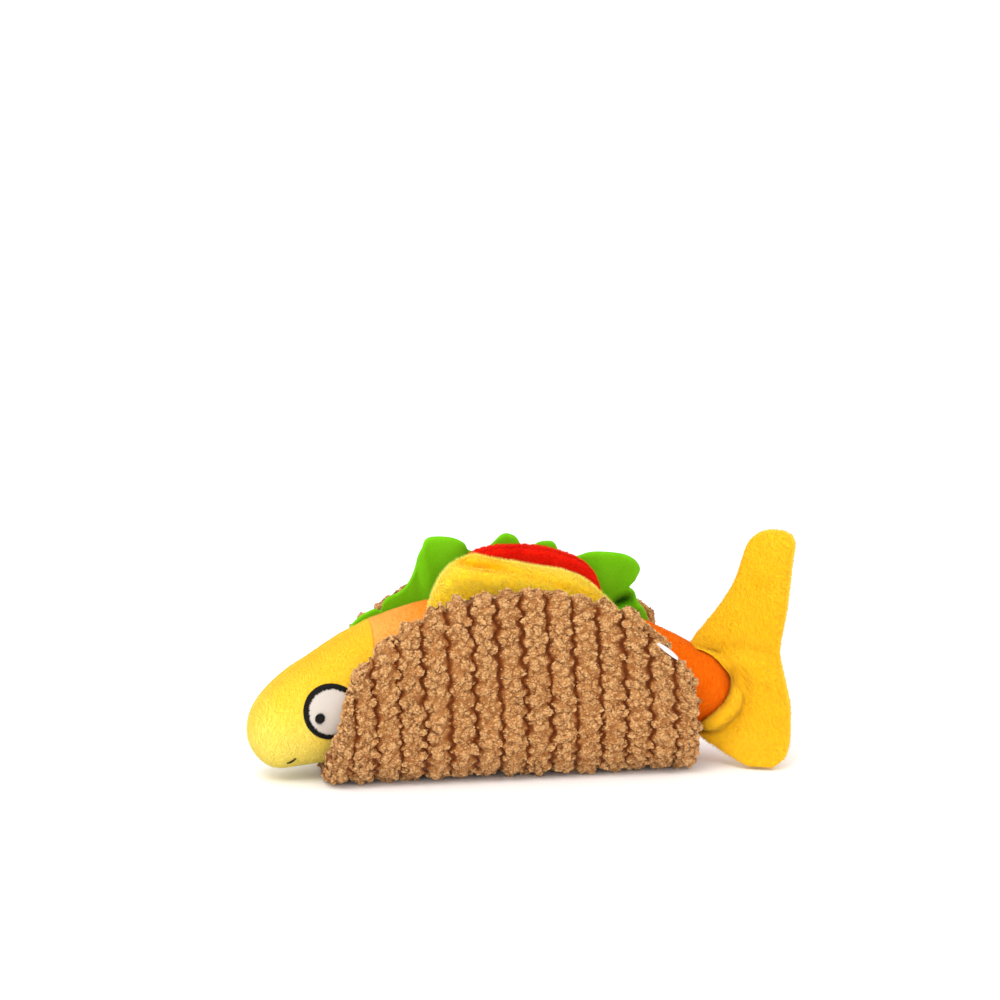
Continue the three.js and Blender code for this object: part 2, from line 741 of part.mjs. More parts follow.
// The cheese slice stands against the fish's front side and rolls over its back.
function cheesePiece() {
  const ridge = smoothLine(cheeseRidgeShares);
  const columns = 18;
  const rows = 11;
  const half = cheese.wall / 2;
  const path = (share) => {
    const rise = ridge(share) * (cheese.ridgeZ - cheese.footZ);
    const radius = cheese.rollRadius * Math.min(1, ridge(share) + cheese.rollEndShare);
    const shoulder = cheese.footZ + rise - radius - half;
    const centreY = cheese.wallY + radius;
    const points = [new THREE.Vector3(0, cheese.footY, cheese.footZ)];
    for (let i = 0; i <= 8; i += 1) {
      const angle = Math.PI * (1 - i / 8);
      const out = new THREE.Vector2(Math.cos(angle), Math.sin(angle)).multiplyScalar(radius);
      points.push(new THREE.Vector3(0, centreY + out.x, shoulder + out.y));
    }
    points.push(new THREE.Vector3(0, centreY + radius, shoulder - cheese.backDrop * ridge(share)));
    return new THREE.CatmullRomCurve3(points);
  };
  const paths = Array.from({ length: columns + 1 }, (_, i) => path(i / columns));
  const face = (side) => ({
    columns,
    rows,
    point: (i, j) => {
      const at = paths[i].getPointAt(j / rows);
      const run = paths[i].getTangentAt(j / rows);
      const fullness = Math.sqrt(Math.sin((Math.PI * i) / columns));
      const taper = cheese.thinShare + (1 - cheese.thinShare) * fullness;
      const x = cheese.left + ((cheese.right - cheese.left) * i) / columns;
      return new THREE.Vector3(x, at.y - side * half * taper * run.z, at.z + side * half * taper * run.y);
    },
  });
  const seat = fishBody(-touchGap - facetRoom, 24);
  return named("cheese_slice", cut(sheet(face(1), face(-1)), seat), fabric(colours.cheese));
}

// The lettuce is one felt sheet from its sewn root up to its frilly edge, ruffled as it goes.
function lettucePiece() {
  const length = lettuce.right - lettuce.left;
  const rise = lettuce.topZ - lettuce.rootZ;
  const edge = new THREE.CatmullRomCurve3(
    frillShares.map(([along, up]) => new THREE.Vector3(along, 0, up)), false, "centripetal",
  );
  const columns = 50;
  const rows = 3;
  const middle = (i, j) => {
    const frill = edge.getPointAt(i / columns);
    const share = j / rows;
    const rootX = lettuce.left + lettuce.rootInset + (length - 2 * lettuce.rootInset) * (i / columns);
    const x = rootX + (lettuce.left + length * frill.x - rootX) * share;
    const up = Math.max(frill.z * rise, 2 * lettuce.thickness) * share;
    const wave = Math.sin((2 * Math.PI * lettuce.ruffles * i) / columns);
    const lean = (lettuce.tipY - lettuce.rootY) * (up / rise);
    const y = lettuce.rootY + lean + lettuce.ruffle * wave * (up / rise) ** 1.5;
    return new THREE.Vector3(x, y, lettuce.rootZ + up);
  };
  const face = (side) => ({
    columns,
    rows,
    point: (i, j) => middle(i, j).add(new THREE.Vector3(0, (side * lettuce.thickness) / 2, 0)),
  });
  const seat = fishBody(-touchGap - facetRoom, 24);
  return named("lettuce_leaf", cut(sheet(face(-1), face(1)), seat), fabric(colours.lettuce));
}

function assemble() {
  const toy = new THREE.Group();
  toy.add(...bottomPieces(), ...flapPieces(1, "front"), tabPiece(), ...flapPieces(-1, "back"));
  const tailEnd = hingeX + stalk.domeRadius;
  for (const [side, word] of [[-1, "front"], [1, "back"]]) {
    const head = fishPanel(side, fish.snoutX, fish.headSeamX - seamGap / 2);
    const body = fishPanel(side, fish.headSeamX + seamGap / 2, tailEnd);
    toy.add(named(`head_${word}`, head, fabric(colours.yellow)));
    toy.add(named(`body_${word}`, body, fabric(colours.orange)));
    toy.add(...eyePieces(side, word));
  }
  toy.add(named("fish_stuffing", stuffing(), fabric(colours.padding)));
  const noise = new THREE.Group();
  noise.position.set(squeaker.x, 0, squeaker.z);
  noise.add(...squeakerPieces());
  const tail = new THREE.Group();
  tail.position.set(hingeX, 0, 0);
  tail.rotation.z = fin.restTurn;
  tail.add(...finPieces());
  toy.add(noise, tail, ...tomatoPieces(), cheesePiece(), lettucePiece());
  return toy;
}

export default assemble();
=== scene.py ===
import math
from itertools import product

import bpy
import bmesh
import numpy as np
from mathutils import Euler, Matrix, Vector


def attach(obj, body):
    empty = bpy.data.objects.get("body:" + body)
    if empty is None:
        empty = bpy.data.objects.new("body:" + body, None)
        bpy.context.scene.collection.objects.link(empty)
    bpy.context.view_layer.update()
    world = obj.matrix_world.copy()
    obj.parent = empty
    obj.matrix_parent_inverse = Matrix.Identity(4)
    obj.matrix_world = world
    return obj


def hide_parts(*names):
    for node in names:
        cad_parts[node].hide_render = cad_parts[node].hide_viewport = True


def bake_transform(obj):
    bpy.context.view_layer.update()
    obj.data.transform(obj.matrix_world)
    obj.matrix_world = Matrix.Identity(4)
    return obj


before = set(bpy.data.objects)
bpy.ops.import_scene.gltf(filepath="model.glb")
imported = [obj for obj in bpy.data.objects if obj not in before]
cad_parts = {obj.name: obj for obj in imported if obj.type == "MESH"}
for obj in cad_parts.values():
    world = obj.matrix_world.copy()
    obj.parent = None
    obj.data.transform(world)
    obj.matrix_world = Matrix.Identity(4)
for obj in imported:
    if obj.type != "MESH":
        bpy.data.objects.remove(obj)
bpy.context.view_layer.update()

# Sizes below are in millimetres, as in the part's own source, and become metres in addMesh.
mm = 0.001
degrees = math.pi / 180
seamGap = 0.05  # between the two halves of a sewn cover
sides = ((-1, "Front"), (1, "Back"))

print("camera and light")

view = {"place": (-0.25315, -1.30235, 0.33079), "tilt": 81.47, "turn": -10.873, "lens": 100, "sensor": 36,
        "clip": (0.05, 60)}
studio = {"skyStrength": 1.04, "floorColours": ((0.97,) * 3, (0.9894,) * 3), "floorReach": 30, "floorGrain": 6}
softboxes = {  # place, what it aims at, size, watts, colour
    "overheadBox": ((-0.45, -0.6, 1.2), (0, 0, 0.03), 0.7, 8.0, (1, 0.99, 0.97)),
    "leftBox": ((-1.3, -0.9, 0.5), (0, 0, 0.05), 0.7, 3.5, (1, 1, 1)),
    "rightBox": ((1.2, -0.8, 0.6), (0, 0, 0.05), 0.8, 2.0, (1, 0.98, 0.96)),
    "lowBox": ((-0.4, -1.7, 0.13), (0, 0, 0.04), 0.9, 6.0, (1, 1, 1)),
    "backBox": ((0.2, 1.3, 1.0), (0, 0, 0.06), 1.0, 3.0, (1, 1, 1)),
}


def show(name, data):  # a new object in the scene
    piece = bpy.data.objects.new(name, data)
    bpy.context.scene.collection.objects.link(piece)
    return piece


def setCamera():
    lens = bpy.data.cameras.new("camera")
    lens.lens, lens.sensor_width = view["lens"], view["sensor"]
    lens.clip_start, lens.clip_end = view["clip"]
    camera = show("camera", lens)
    camera.location = view["place"]
    camera.rotation_euler = Euler((view["tilt"] * degrees, 0, view["turn"] * degrees))
    bpy.context.scene.camera = camera


def setLights():
    for name, (place, aim, size, watts, colour) in softboxes.items():
        lamp = bpy.data.lights.new(name, "AREA")
        lamp.shape, lamp.size, lamp.energy, lamp.color = "SQUARE", size, watts, colour
        box = show(name, lamp)
        box.location, box.visible_camera = place, False
        box.rotation_euler = (Vector(place) - Vector(aim)).to_track_quat("Z", "Y").to_euler()
    sky = bpy.data.worlds.new("studio")
    sky.use_nodes = True
    for label, value in (("Color", (1, 1, 1, 1)), ("Strength", studio["skyStrength"])):
        sky.node_tree.nodes["Background"].inputs[label].default_value = value
    bpy.context.scene.world = sky
    bpy.context.scene.view_settings.view_transform = "Standard"


setCamera()
setLights()

# Small helpers for shapes


def cellKey(cell, seed):
    return (cell[..., 0] * 73856093) ^ (cell[..., 1] * 19349663) ^ (cell[..., 2] * 83492791) ^ (seed * 40503)


def nextChance(key):  # the next key and a number from 0 to 1
    key = (key ^ (key >> 13)) & 0x7FFFFFFF
    key = (key * 1103515245 + 12345) & 0x7FFFFFFF
    return key, ((key >> 9) & 0xFFFF) / 65535


def knobNoise(points, size, seed):  # rounded knobs about size across: 1 on top, 0 in the creases between them
    cell = np.asarray(points, float) / size
    low = np.floor(cell).astype(np.int64)
    first = np.full(cell.shape[:-1], 9.0)
    second = first.copy()
    for corner in product((-1, 0, 1), repeat=3):
        key = cellKey(low + corner, seed)
        away = 0
        for i in range(3):
            key, chance = nextChance(key)
            away = away + (low[..., i] + corner[i] + chance - cell[..., i]) ** 2
        away = np.sqrt(away)
        second = np.minimum(second, np.maximum(first, away))
        first = np.minimum(first, away)
    return smoothStep(second - first, 0, 0.45) * np.sqrt(np.maximum(1 - (first / 0.95) ** 2, 0))


def softNoise(points, size, seed):  # smooth lumps from -1 to 1, each about size across
    cell = np.asarray(points, float) / size
    low = np.floor(cell).astype(np.int64)
    part = cell - low
    part = part * part * (3 - 2 * part)
    total = 0
    for corner in product((0, 1), repeat=3):
        weight = 1
        for i in range(3):
            weight = weight * (part[..., i] if corner[i] else 1 - part[..., i])
        total = total + weight * (2 * nextChance(cellKey(low + corner, seed))[1] - 1)
    return total


def smoothLine(rows):  # a smooth curve through rows of place and value
    places, values = np.array(rows, float).T
    last = len(rows) - 1
    before = np.maximum(np.arange(last + 1) - 1, 0)
    after = np.minimum(np.arange(last + 1) + 1, last)
    slopes = (values[after] - values[before]) / (places[after] - places[before])

    def at(place):
        place = np.asarray(place, float)
        i = np.clip(np.searchsorted(places, place, side="left") - 1, 0, last - 1)
        w = places[i + 1] - places[i]
        t = np.clip((place - places[i]) / w, 0, 1)
        near = (1 + 2 * t) * (1 - t) ** 2 * values[i] + t * (1 - t) ** 2 * w * slopes[i]
        return near + (t * t * (3 - 2 * t) * values[i + 1] + t * t * (t - 1) * w * slopes[i + 1])

    return at


def brokenLine(places, rows):  # the same with straight stretches
    return np.interp(places, *np.array(rows, float).T)


def smoothStep(value, low, high):
    t = np.clip((value - low) / (high - low), 0, 1)
    return t * t * (3 - 2 * t)


def quarterRound(distance, width):  # 0 at a sewn edge, rising round to 1 at width from it
    run = 1 - np.clip(distance / width, 0, 1)
    return np.sqrt(1 - run * run)


def bell(value, width):
    return np.exp(-(value / width) ** 2)


def dome(value):  # 1 in the middle, falling round to 0 at -1 and 1
    return np.sqrt(np.maximum(1 - value ** 2, 0))


def steps(count):  # from 0 to 1
    return np.linspace(0, 1, count + 1)


def pointsAt(x, y, z):
    return np.stack(np.broadcast_arrays(x, y, z), -1)


def unit(vectors):
    return vectors / np.maximum(np.linalg.norm(vectors, axis=-1, keepdims=True), 1e-9)


def gridNormals(points):  # the normal at every point of a grid of points
    return unit(np.cross(np.gradient(points, axis=0), np.gradient(points, axis=1)))


def borderOf(columns, rows, start):  # points round a grid's border, each with how far round it lies
    loop = [(i / columns, i, 0) for i in range(columns)] + [(1 + j / rows, columns, j) for j in range(rows)]
    loop += [(3 - i / columns, i, rows) for i in range(columns, 0, -1)]
    loop += [(4 - j / rows, 0, j) for j in range(rows, 0, -1)]
    return [(place, start + i * (rows + 1) + j) for place, i, j in loop + [(4, 0, 0)]]


def sheetFaces(outerShape, innerShape):  # two grids of points, each of its own fineness, closed all round
    faces, borders = [], []
    for (across, down), start, turn in ((outerShape, 0, 1), (innerShape, outerShape[0] * outerShape[1], -1)):
        i, j = np.meshgrid(np.arange(across - 1), np.arange(down - 1), indexing="ij")
        a = start + i * down + j
        faces += np.stack([a, a + down, a + down + 1, a + 1], -1).reshape(-1, 4)[:, ::turn].tolist()
        borders.append(borderOf(across - 1, down - 1, start))
    out, back = borders
    i = j = 0
    while i < len(out) - 1 or j < len(back) - 1:
        if i < len(out) - 1 and (j == len(back) - 1 or out[i + 1][0] <= back[j + 1][0]):
            faces.append([out[i + 1][1], out[i][1], back[j][1]])
            i += 1
        else:
            faces.append([out[i][1], back[j][1], back[j + 1][1]])
            j += 1
    return faces


def addMesh(name, points, faces, finish=None, **attributes):  # points in millimetres
    mesh = bpy.data.meshes.new(name)
    mesh.from_pydata((np.asarray(points, float).reshape(-1, 3) * mm).tolist(), [], faces)
    for label, values in attributes.items():
        values = np.asarray(values, np.float32)
        kind, field = ("FLOAT_VECTOR", "vector") if values.ndim == 2 else ("FLOAT", "value")
        mesh.attributes.new(label, kind, "POINT").data.foreach_set(field, values.ravel())
    work = bmesh.new()
    work.from_mesh(mesh)
    bmesh.ops.remove_doubles(work, verts=work.verts, dist=2e-6)
    bmesh.ops.dissolve_degenerate(work, edges=work.edges, dist=1e-7)
    if work.calc_volume(signed=True) < 0:
        bmesh.ops.reverse_faces(work, faces=work.faces)
    work.to_mesh(mesh)
    work.free()
    mesh.shade_smooth()
    if finish:
        mesh.materials.append(finishes[finish])
    return show(name, mesh)


def addSheet(name, outer, inner, finish, **attributes):  # an attribute: its values outside, or outside and inside
    for label, values in attributes.items():
        both = isinstance(values, tuple)
        outside, inside = values if both else (values, np.zeros(inner.shape[:2] + values.shape[2:]))
        attributes[label] = np.concatenate([part.reshape((-1,) + outside.shape[2:]) for part in (outside, inside)])
    points = np.concatenate([outer.reshape(-1, 3), inner.reshape(-1, 3)])
    return addMesh(name, points, sheetFaces(outer.shape[:2], inner.shape[:2]), finish, **attributes)


def settle(piece, body, slot, *nodes, fill=None):  # its body, its finish (not used), how full it is (not used), the CAD nodes it stands for
    if body:
        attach(piece, body)
    if nodes:
        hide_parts(*nodes)


# Short ways to add nodes to one tree
class NodeBook:
    def __init__(self, tree):
        self.tree = tree

    def join(self, value, socket):  # a link or a plain value
        if isinstance(value, bpy.types.NodeSocket):
            self.tree.links.new(value, socket)
        elif value is not None:
            socket.default_value = value

    def add(self, kind, settings=None, **inputs):
        node = self.tree.nodes.new(kind)
        for label, value in (settings or {}).items():
            setattr(node, label, value)
        for label, value in inputs.items():
            self.join(value, node.inputs[label.replace("_", " ")])
        return node

    def maths(self, operation, *values, kind="ShaderNodeMath", **inputs):
        node = self.add(kind, {"operation": operation}, **inputs)
        for value, socket in zip(values, node.inputs):
            self.join(value, socket)
        return node.outputs[0]

    def vectors(self, operation, *values, **inputs):
        return self.maths(operation, *values, kind="ShaderNodeVectorMath", **inputs)

    def weigh(self, total, *parts):  # the total of the parts, each a value and its weight
        for value, weight in parts:
            total = self.maths("MULTIPLY_ADD", value, weight, total)
        return total

    def noise(self, place, scale, detail, roughness, output="Fac"):
        return self.add("ShaderNodeTexNoise", Vector=place, Scale=scale, Detail=detail,
                        Roughness=roughness).outputs[output]

    def random(self, low, high, seed):  # numbers, or vectors each way where only high is given
        first, kind = (0, "FLOAT_VECTOR") if low is None else (2, "FLOAT")
        node = self.add("FunctionNodeRandomValue", {"data_type": kind}, Seed=seed)
        ends = (low, high) if first else ((-high,) * 3, (high,) * 3)
        node.inputs[first].default_value, node.inputs[first + 1].default_value = ends
        return node.outputs[first // 2]

    def stored(self, name, kind="FLOAT"):
        return self.add("GeometryNodeInputNamedAttribute", {"data_type": kind}, Name=name).outputs[0]

    def store(self, geometry, name, value, kind="FLOAT"):
        return self.add("GeometryNodeStoreNamedAttribute", {"data_type": kind, "domain": "POINT"},
                        Geometry=geometry, Name=name, Value=value).outputs[0]

    def aim(self, axis, vector, rotation=None):  # a turned thing turns on about its own Z alone
        settings = {"axis": axis, "pivot_axis": "AUTO" if rotation is None else "Z"}
        return self.add("FunctionNodeAlignRotationToVector", settings, Vector=vector, Rotation=rotation).outputs[0]

    def plant(self, points, instance, rotation, scale):
        planted = self.add("GeometryNodeInstanceOnPoints", Points=points, Instance=instance, Rotation=rotation,
                           Scale=scale).outputs[0]
        return self.add("GeometryNodeRealizeInstances", Geometry=planted).outputs[0]

    def paint(self, geometry, material):
        return self.add("GeometryNodeSetMaterial", Geometry=geometry, Material=material).outputs[0]

    def end(self, *geometries):
        result = geometries[0]
        if len(geometries) > 1:
            both = self.add("GeometryNodeJoinGeometry")
            for geometry in geometries:
                self.join(geometry, both.inputs[0])
            result = both.outputs[0]
        self.join(result, self.tree.nodes.new("NodeGroupOutput").inputs["Geometry"])
        return self.tree


# A finish takes its colour from a ramp, by the total of its layers, and its bump from the first layer.
# Each layer: its weight, then an attribute, or a kind of grain with its scale, detail and roughness.
# A paler stretch: the axis along which it grows paler, from where to where in metres, and how much.
# napShare: pile takes that much of its light as the cloth under it does, so that it looks soft.
def addFinish(name, stops, layers, bump=None, base=0.0, roughness=0.9, specular=0.1, sheen=0.0, sheenTint=(1, 1, 1),
              streak=(1, 1, 1), paleAlong=None, napShare=0, gloss=None):
    material = bpy.data.materials.new(name)
    material.use_nodes = True
    book = NodeBook(material.node_tree)
    shader = material.node_tree.nodes["Principled BSDF"].inputs
    for label, value in (("Roughness", roughness), ("Specular IOR Level", specular), ("Sheen Weight", sheen),
                         ("Sheen Roughness", 0.45), ("Sheen Tint", (*sheenTint, 1))):
        shader[label].default_value = value
    place = book.add("ShaderNodeTexCoord").outputs["Object"]
    combed = book.add("ShaderNodeMapping", Vector=place, Scale=streak).outputs["Vector"]

    def readLayer(kind, *numbers):
        if kind == "weave":
            bands = [book.add("ShaderNodeTexWave", {"bands_direction": axis}, Vector=place, Scale=numbers[0],
                              Distortion=numbers[1]).outputs["Fac"] for axis in "XZ"]
            return book.maths("MULTIPLY", book.maths("ADD", *bands), 0.5)
        if numbers:
            return book.noise(combed if kind == "combed" else place, *numbers)
        return book.add("ShaderNodeAttribute", {"attribute_name": kind}).outputs["Fac"]

    read = [(readLayer(*layer), weight) for weight, *layer in layers if weight]
    share = book.weigh(base, *read)
    if paleAlong:
        axis, start, end, amount = paleAlong
        along = book.add("ShaderNodeSeparateXYZ", Vector=place).outputs[axis]
        pale = book.add("ShaderNodeMapRange", {"interpolation_type": "SMOOTHSTEP"}, Value=along, From_Min=start,
                        From_Max=end, To_Min=amount, To_Max=0.0).outputs["Result"]
        share = book.maths("ADD", share, pale)
    ramp = book.add("ShaderNodeValToRGB", Fac=share)
    while len(ramp.color_ramp.elements) < len(stops):
        ramp.color_ramp.elements.new(0.5)
    for element, (spot, colour) in zip(ramp.color_ramp.elements, stops):
        element.position, element.color = spot, (*colour, 1)
    book.join(ramp.outputs["Color"], shader["Base Color"])
    if gloss:
        book.join(book.add("ShaderNodeMapRange", Value=read[0][0], To_Min=gloss[0], To_Max=gloss[1]).outputs["Result"],
                  shader["Roughness"])
    if bump:
        normal = None
        if napShare:
            nap = book.add("ShaderNodeAttribute", {"attribute_name": "nap"}).outputs["Vector"]
            turned = {"vector_type": "VECTOR", "convert_from": "OBJECT", "convert_to": "WORLD"}
            nap = book.add("ShaderNodeVectorTransform", turned, Vector=nap).outputs[0]
            own = book.add("ShaderNodeNewGeometry").outputs["Normal"]
            normal = book.vectors("NORMALIZE", book.vectors("ADD", book.vectors("SCALE", nap, Scale=napShare),
                                                            book.vectors("SCALE", own, Scale=1 - napShare)))
        book.join(book.add("ShaderNodeBump", Height=read[0][0], Strength=bump[0], Distance=bump[1],
                           Normal=normal).outputs["Normal"], shader["Normal"])
    return material


# Brushed plush: darker at the roots of the pile, lighter at its tips, which is painted shade deep in the pile; streaked
# the way it was combed.
def plush(name, stops, sheenTint, grain=850, tipShare=0.35, folds=0.0, streak=(1, 1, 0.4), sheen=0.3, paleAlong=None):
    # the fold attribute paints shade: the plush is darker in its creases
    layers = [(0.4, "combed", grain, 3, 0.6), (0.22, "even", 60, 3, 0.55), (tipShare, "tip"), (-folds, "fold")]
    return addFinish(name, stops, layers, (0.3, 0.0005), 0.09, 0.9, 0.05, sheen, sheenTint, streak, paleAlong)


def felt(name, stops, sheenTint=(1, 1, 1), folds=0.0):
    # the fold attribute paints shade: the felt is darker in its creases
    layers = [(0.6, "even", 1400, 5, 0.7), (0.4, "even", 60, 2, 0.5), (-folds, "fold")]
    return addFinish(name, stops, layers, (0.35, 0.0004), roughness=0.88, sheen=0.1, sheenTint=sheenTint)


finishes = {
    # painted shade: the ground is darkest where crown is low, in the grooves and between the knobs
    "chenilleBase": addFinish(
        "chenilleGround", [(0.15, (0.07, 0.012, 0.002)), (0.36, (0.22, 0.055, 0.008)), (0.65, (0.4, 0.16, 0.045)),
                           (1.0, (0.5, 0.23, 0.075))],
        [(0.5, "even", 700, 4, 0.65), (0.8, "crown")], (0.8, 0.0012), roughness=0.95, sheen=0.25,
        sheenTint=(0.9, 0.7, 0.5)),
    # the tufts are darker by their shade attribute, which holds painted shade between the knobs
    "chenilleTuft": addFinish(
        "chenilleTufts", [(0.18, (0.13, 0.025, 0.003)), (0.36, (0.34, 0.11, 0.025)), (0.55, (0.56, 0.258, 0.082)),
                          (0.8, (0.75, 0.43, 0.178))],
        [(0.75, "even", 1300, 3, 0.7), (0.8, "even", 600, 3, 0.6), (0.42, "tip"), (0.45, "shade")], (0.8, 0.0009),
        base=-0.72, roughness=0.95, sheen=0.3, sheenTint=(1.0, 0.82, 0.6), napShare=0.25),
    # painted light: the head grows paler towards the bottom, as if lit from below by the white floor
    "yellow": plush(
        "yellowPlush", [(0.42, (0.9, 0.55, 0.022)), (0.58, (0.92, 0.61, 0.04)), (0.78, (0.93, 0.69, 0.09)),
                        (1.0, (0.94, 0.79, 0.17))],
        (1, 0.9, 0.5), tipShare=0.22, paleAlong=("Z", 0.008, 0.068, 0.52)),
    "fin": plush("finPlush", [(0.3, (0.9, 0.47, 0.006)), (0.5, (0.93, 0.57, 0.016)), (0.8, (0.96, 0.67, 0.05))],
                 (1, 0.8, 0.3)),
    # paler towards its front end, next to the head
    "orange": plush(
        "orangePlush", [(0.25, (0.78, 0.1, 0.001)), (0.42, (0.85, 0.15, 0.001)), (0.62, (0.9, 0.21, 0.007)),
                        (1.0, (0.97, 0.48, 0.11))],
        (1, 0.45, 0.05), sheen=0.2, paleAlong=("X", -0.07, -0.01, 0.52)),
    "red": plush("redPlush", [(0.3, (0.56, 0.0, 0.0)), (0.5, (0.88, 0.012, 0.002)), (0.8, (0.96, 0.06, 0.014))],
                 (1, 0.25, 0.12), sheen=0.2, folds=0.3, streak=(1, 1, 1)),
    "cheese": plush(
        "cheesePlush", [(0.1, (0.93, 0.44, 0.0)), (0.35, (1.0, 0.67, 0.012)), (0.55, (1.0, 0.79, 0.045)),
                        (0.85, (1.0, 0.9, 0.17))],
        (1, 0.85, 0.4), grain=650, tipShare=0.5, sheen=0.4, folds=0.6),
    "felt": felt(
        "greenFelt", [(0.0, (0.02, 0.14, 0.0)), (0.32, (0.1, 0.38, 0.001)), (0.5, (0.14, 0.49, 0.003)),
                      (0.75, (0.195, 0.59, 0.012))],
        (0.7, 1, 0.3), folds=0.62),
    "eyeFelt": felt("paleEyeFelt", [(0.3, (0.53, 0.47, 0.415)), (0.55, (0.57, 0.51, 0.45)),
                                    (0.75, (0.61, 0.55, 0.49))]),
    "thread": addFinish("blackThread", [(0.3, (0.002, 0.002, 0.002)), (0.7, (0.01, 0.009, 0.009))],
                        [(1, "even", 2600, 2, 0.5)], (0.5, 0.0003), roughness=0.5, specular=0.12),
    "satin": addFinish("satinRibbon", [(0.2, (0.62, 0.59, 0.6)), (0.8, (0.78, 0.75, 0.76))],
                       [(1, "weave", 900, 0.6)], (0.25, 0.0002), roughness=0.42, specular=0.5, sheen=0.1),
    "fibre": addFinish("fibreFilling", [(0.3, (0.78, 0.77, 0.74)), (0.7, (0.95, 0.94, 0.92))],
                       [(1, "even", 260, 6, 0.7)], (0.6, 0.001), roughness=0.95, specular=0.2, sheen=0.3),
    "plastic": addFinish("squeakerPlastic", [(0.3, (0.86, 0.86, 0.83)), (0.7, (0.95, 0.95, 0.92))],
                         [(1, "even", 90, 3, 0.5)], (0.1, 0.0004), roughness=0.38, specular=0.5, gloss=(0.3, 0.5)),
    "lining": plush("liningCloth", [(0.3, (0.34, 0.14, 0.045)), (0.55, (0.5, 0.25, 0.1)), (0.85, (0.62, 0.36, 0.16))],
                    (1, 0.85, 0.68), grain=520, sheen=0.25, streak=(1, 1, 1)),
    "paper": addFinish("paperFloor", list(zip((0.3, 0.7), studio["floorColours"])),
                       [(1, "even", studio["floorGrain"], 2, 0.5)], roughness=0.8, specular=0.2),
}
socketKinds = {"Geometry": "Geometry", "Brushed": "Vector", "Seed": "Int", "Material": "Material"}


def startTree(name, *sizes):  # a Geometry Nodes tree: a mesh goes in and out, its sizes are named inputs
    tree = bpy.data.node_groups.new(name, "GeometryNodeTree")
    for way, labels in (("INPUT", ("Geometry", *sizes, "Seed", "Material")), ("OUTPUT", ("Geometry",))):
        for label in labels:
            tree.interface.new_socket(label, in_out=way, socket_type="NodeSocket" + socketKinds.get(label, "Float"))
    book, given = NodeBook(tree), tree.nodes.new("NodeGroupInput").outputs
    return book, given, book.add("GeometryNodeInputPosition").outputs[0]


# Chenille tufts: soft lumps lying across a cord, pointed towards its nearer groove.
def tuftTree():
    book, given, position = startTree("chenilleTufts", "Tuft Length", "Tuft Width", "Tuft Height", "Spacing",
                                      "Raggedness")
    crown, seed = book.stored("crown"), given["Seed"]
    ball = book.add("GeometryNodeMeshUVSphere", Segments=4, Rings=2, Radius=1.0).outputs["Mesh"]
    x, y, z = book.add("ShaderNodeSeparateXYZ", Vector=position).outputs
    slim = book.weigh(1.0, (x, -0.42))
    shaped = book.add("ShaderNodeCombineXYZ", X=book.maths("MULTIPLY", x, 1.15), Y=book.maths("MULTIPLY", y, slim),
                      Z=book.maths("MULTIPLY", z, slim)).outputs[0]
    # painted shade: each tuft is darker on its underside, lighter on its top
    ball = book.store(ball, "tip", book.weigh(0.5, (z, 0.5)))
    ball = book.add("GeometryNodeSetPosition", Geometry=ball, Position=shaped).outputs[0]
    spots = book.add("GeometryNodeDistributePointsOnFaces", {"distribute_method": "POISSON"}, Mesh=given["Geometry"],
                     Distance_Min=given["Spacing"], Density_Max=2.0e6, Density_Factor=crown, Seed=seed).outputs
    upright = book.aim("Z", book.vectors("ADD", spots["Normal"], book.random(None, 0.5, seed)))
    lying = book.aim("X", book.vectors("ADD", book.stored("across", "FLOAT_VECTOR"), book.random(None, 0.75, seed)),
                     upright)
    size = book.maths("MULTIPLY", book.random(0.55, 1.35, seed), book.weigh(0.6, (crown, 0.4)))
    # longer and more pointed beside a groove
    length = book.maths("MULTIPLY", given["Tuft Length"], book.weigh(1.5, (crown, -0.5)))
    box = book.add("ShaderNodeCombineXYZ", X=length, Y=given["Tuft Width"], Z=given["Tuft Height"]).outputs[0]
    scale = book.vectors("SCALE", book.vectors("MULTIPLY", box, (0.5, 0.5, 0.5)), Scale=size)
    points = book.store(spots["Points"], "nap", spots["Normal"], "FLOAT_VECTOR")
    # a random tone per tuft, and painted shade between the knobs, where they lie deeper
    points = book.store(points, "shade", book.weigh(book.random(0.0, 0.4, seed), (crown, 0.6)))
    tufts = book.plant(points, ball, lying, scale)
    rough = book.noise(position, 760, 2, 0.6, "Color")
    push = book.vectors("SCALE", book.vectors("SUBTRACT", rough, (0.5, 0.5, 0.5)), Scale=given["Raggedness"])
    tufts = book.add("GeometryNodeSetPosition", Geometry=tufts, Offset=push).outputs[0]
    return book.end(book.paint(tufts, given["Material"]), given["Geometry"])


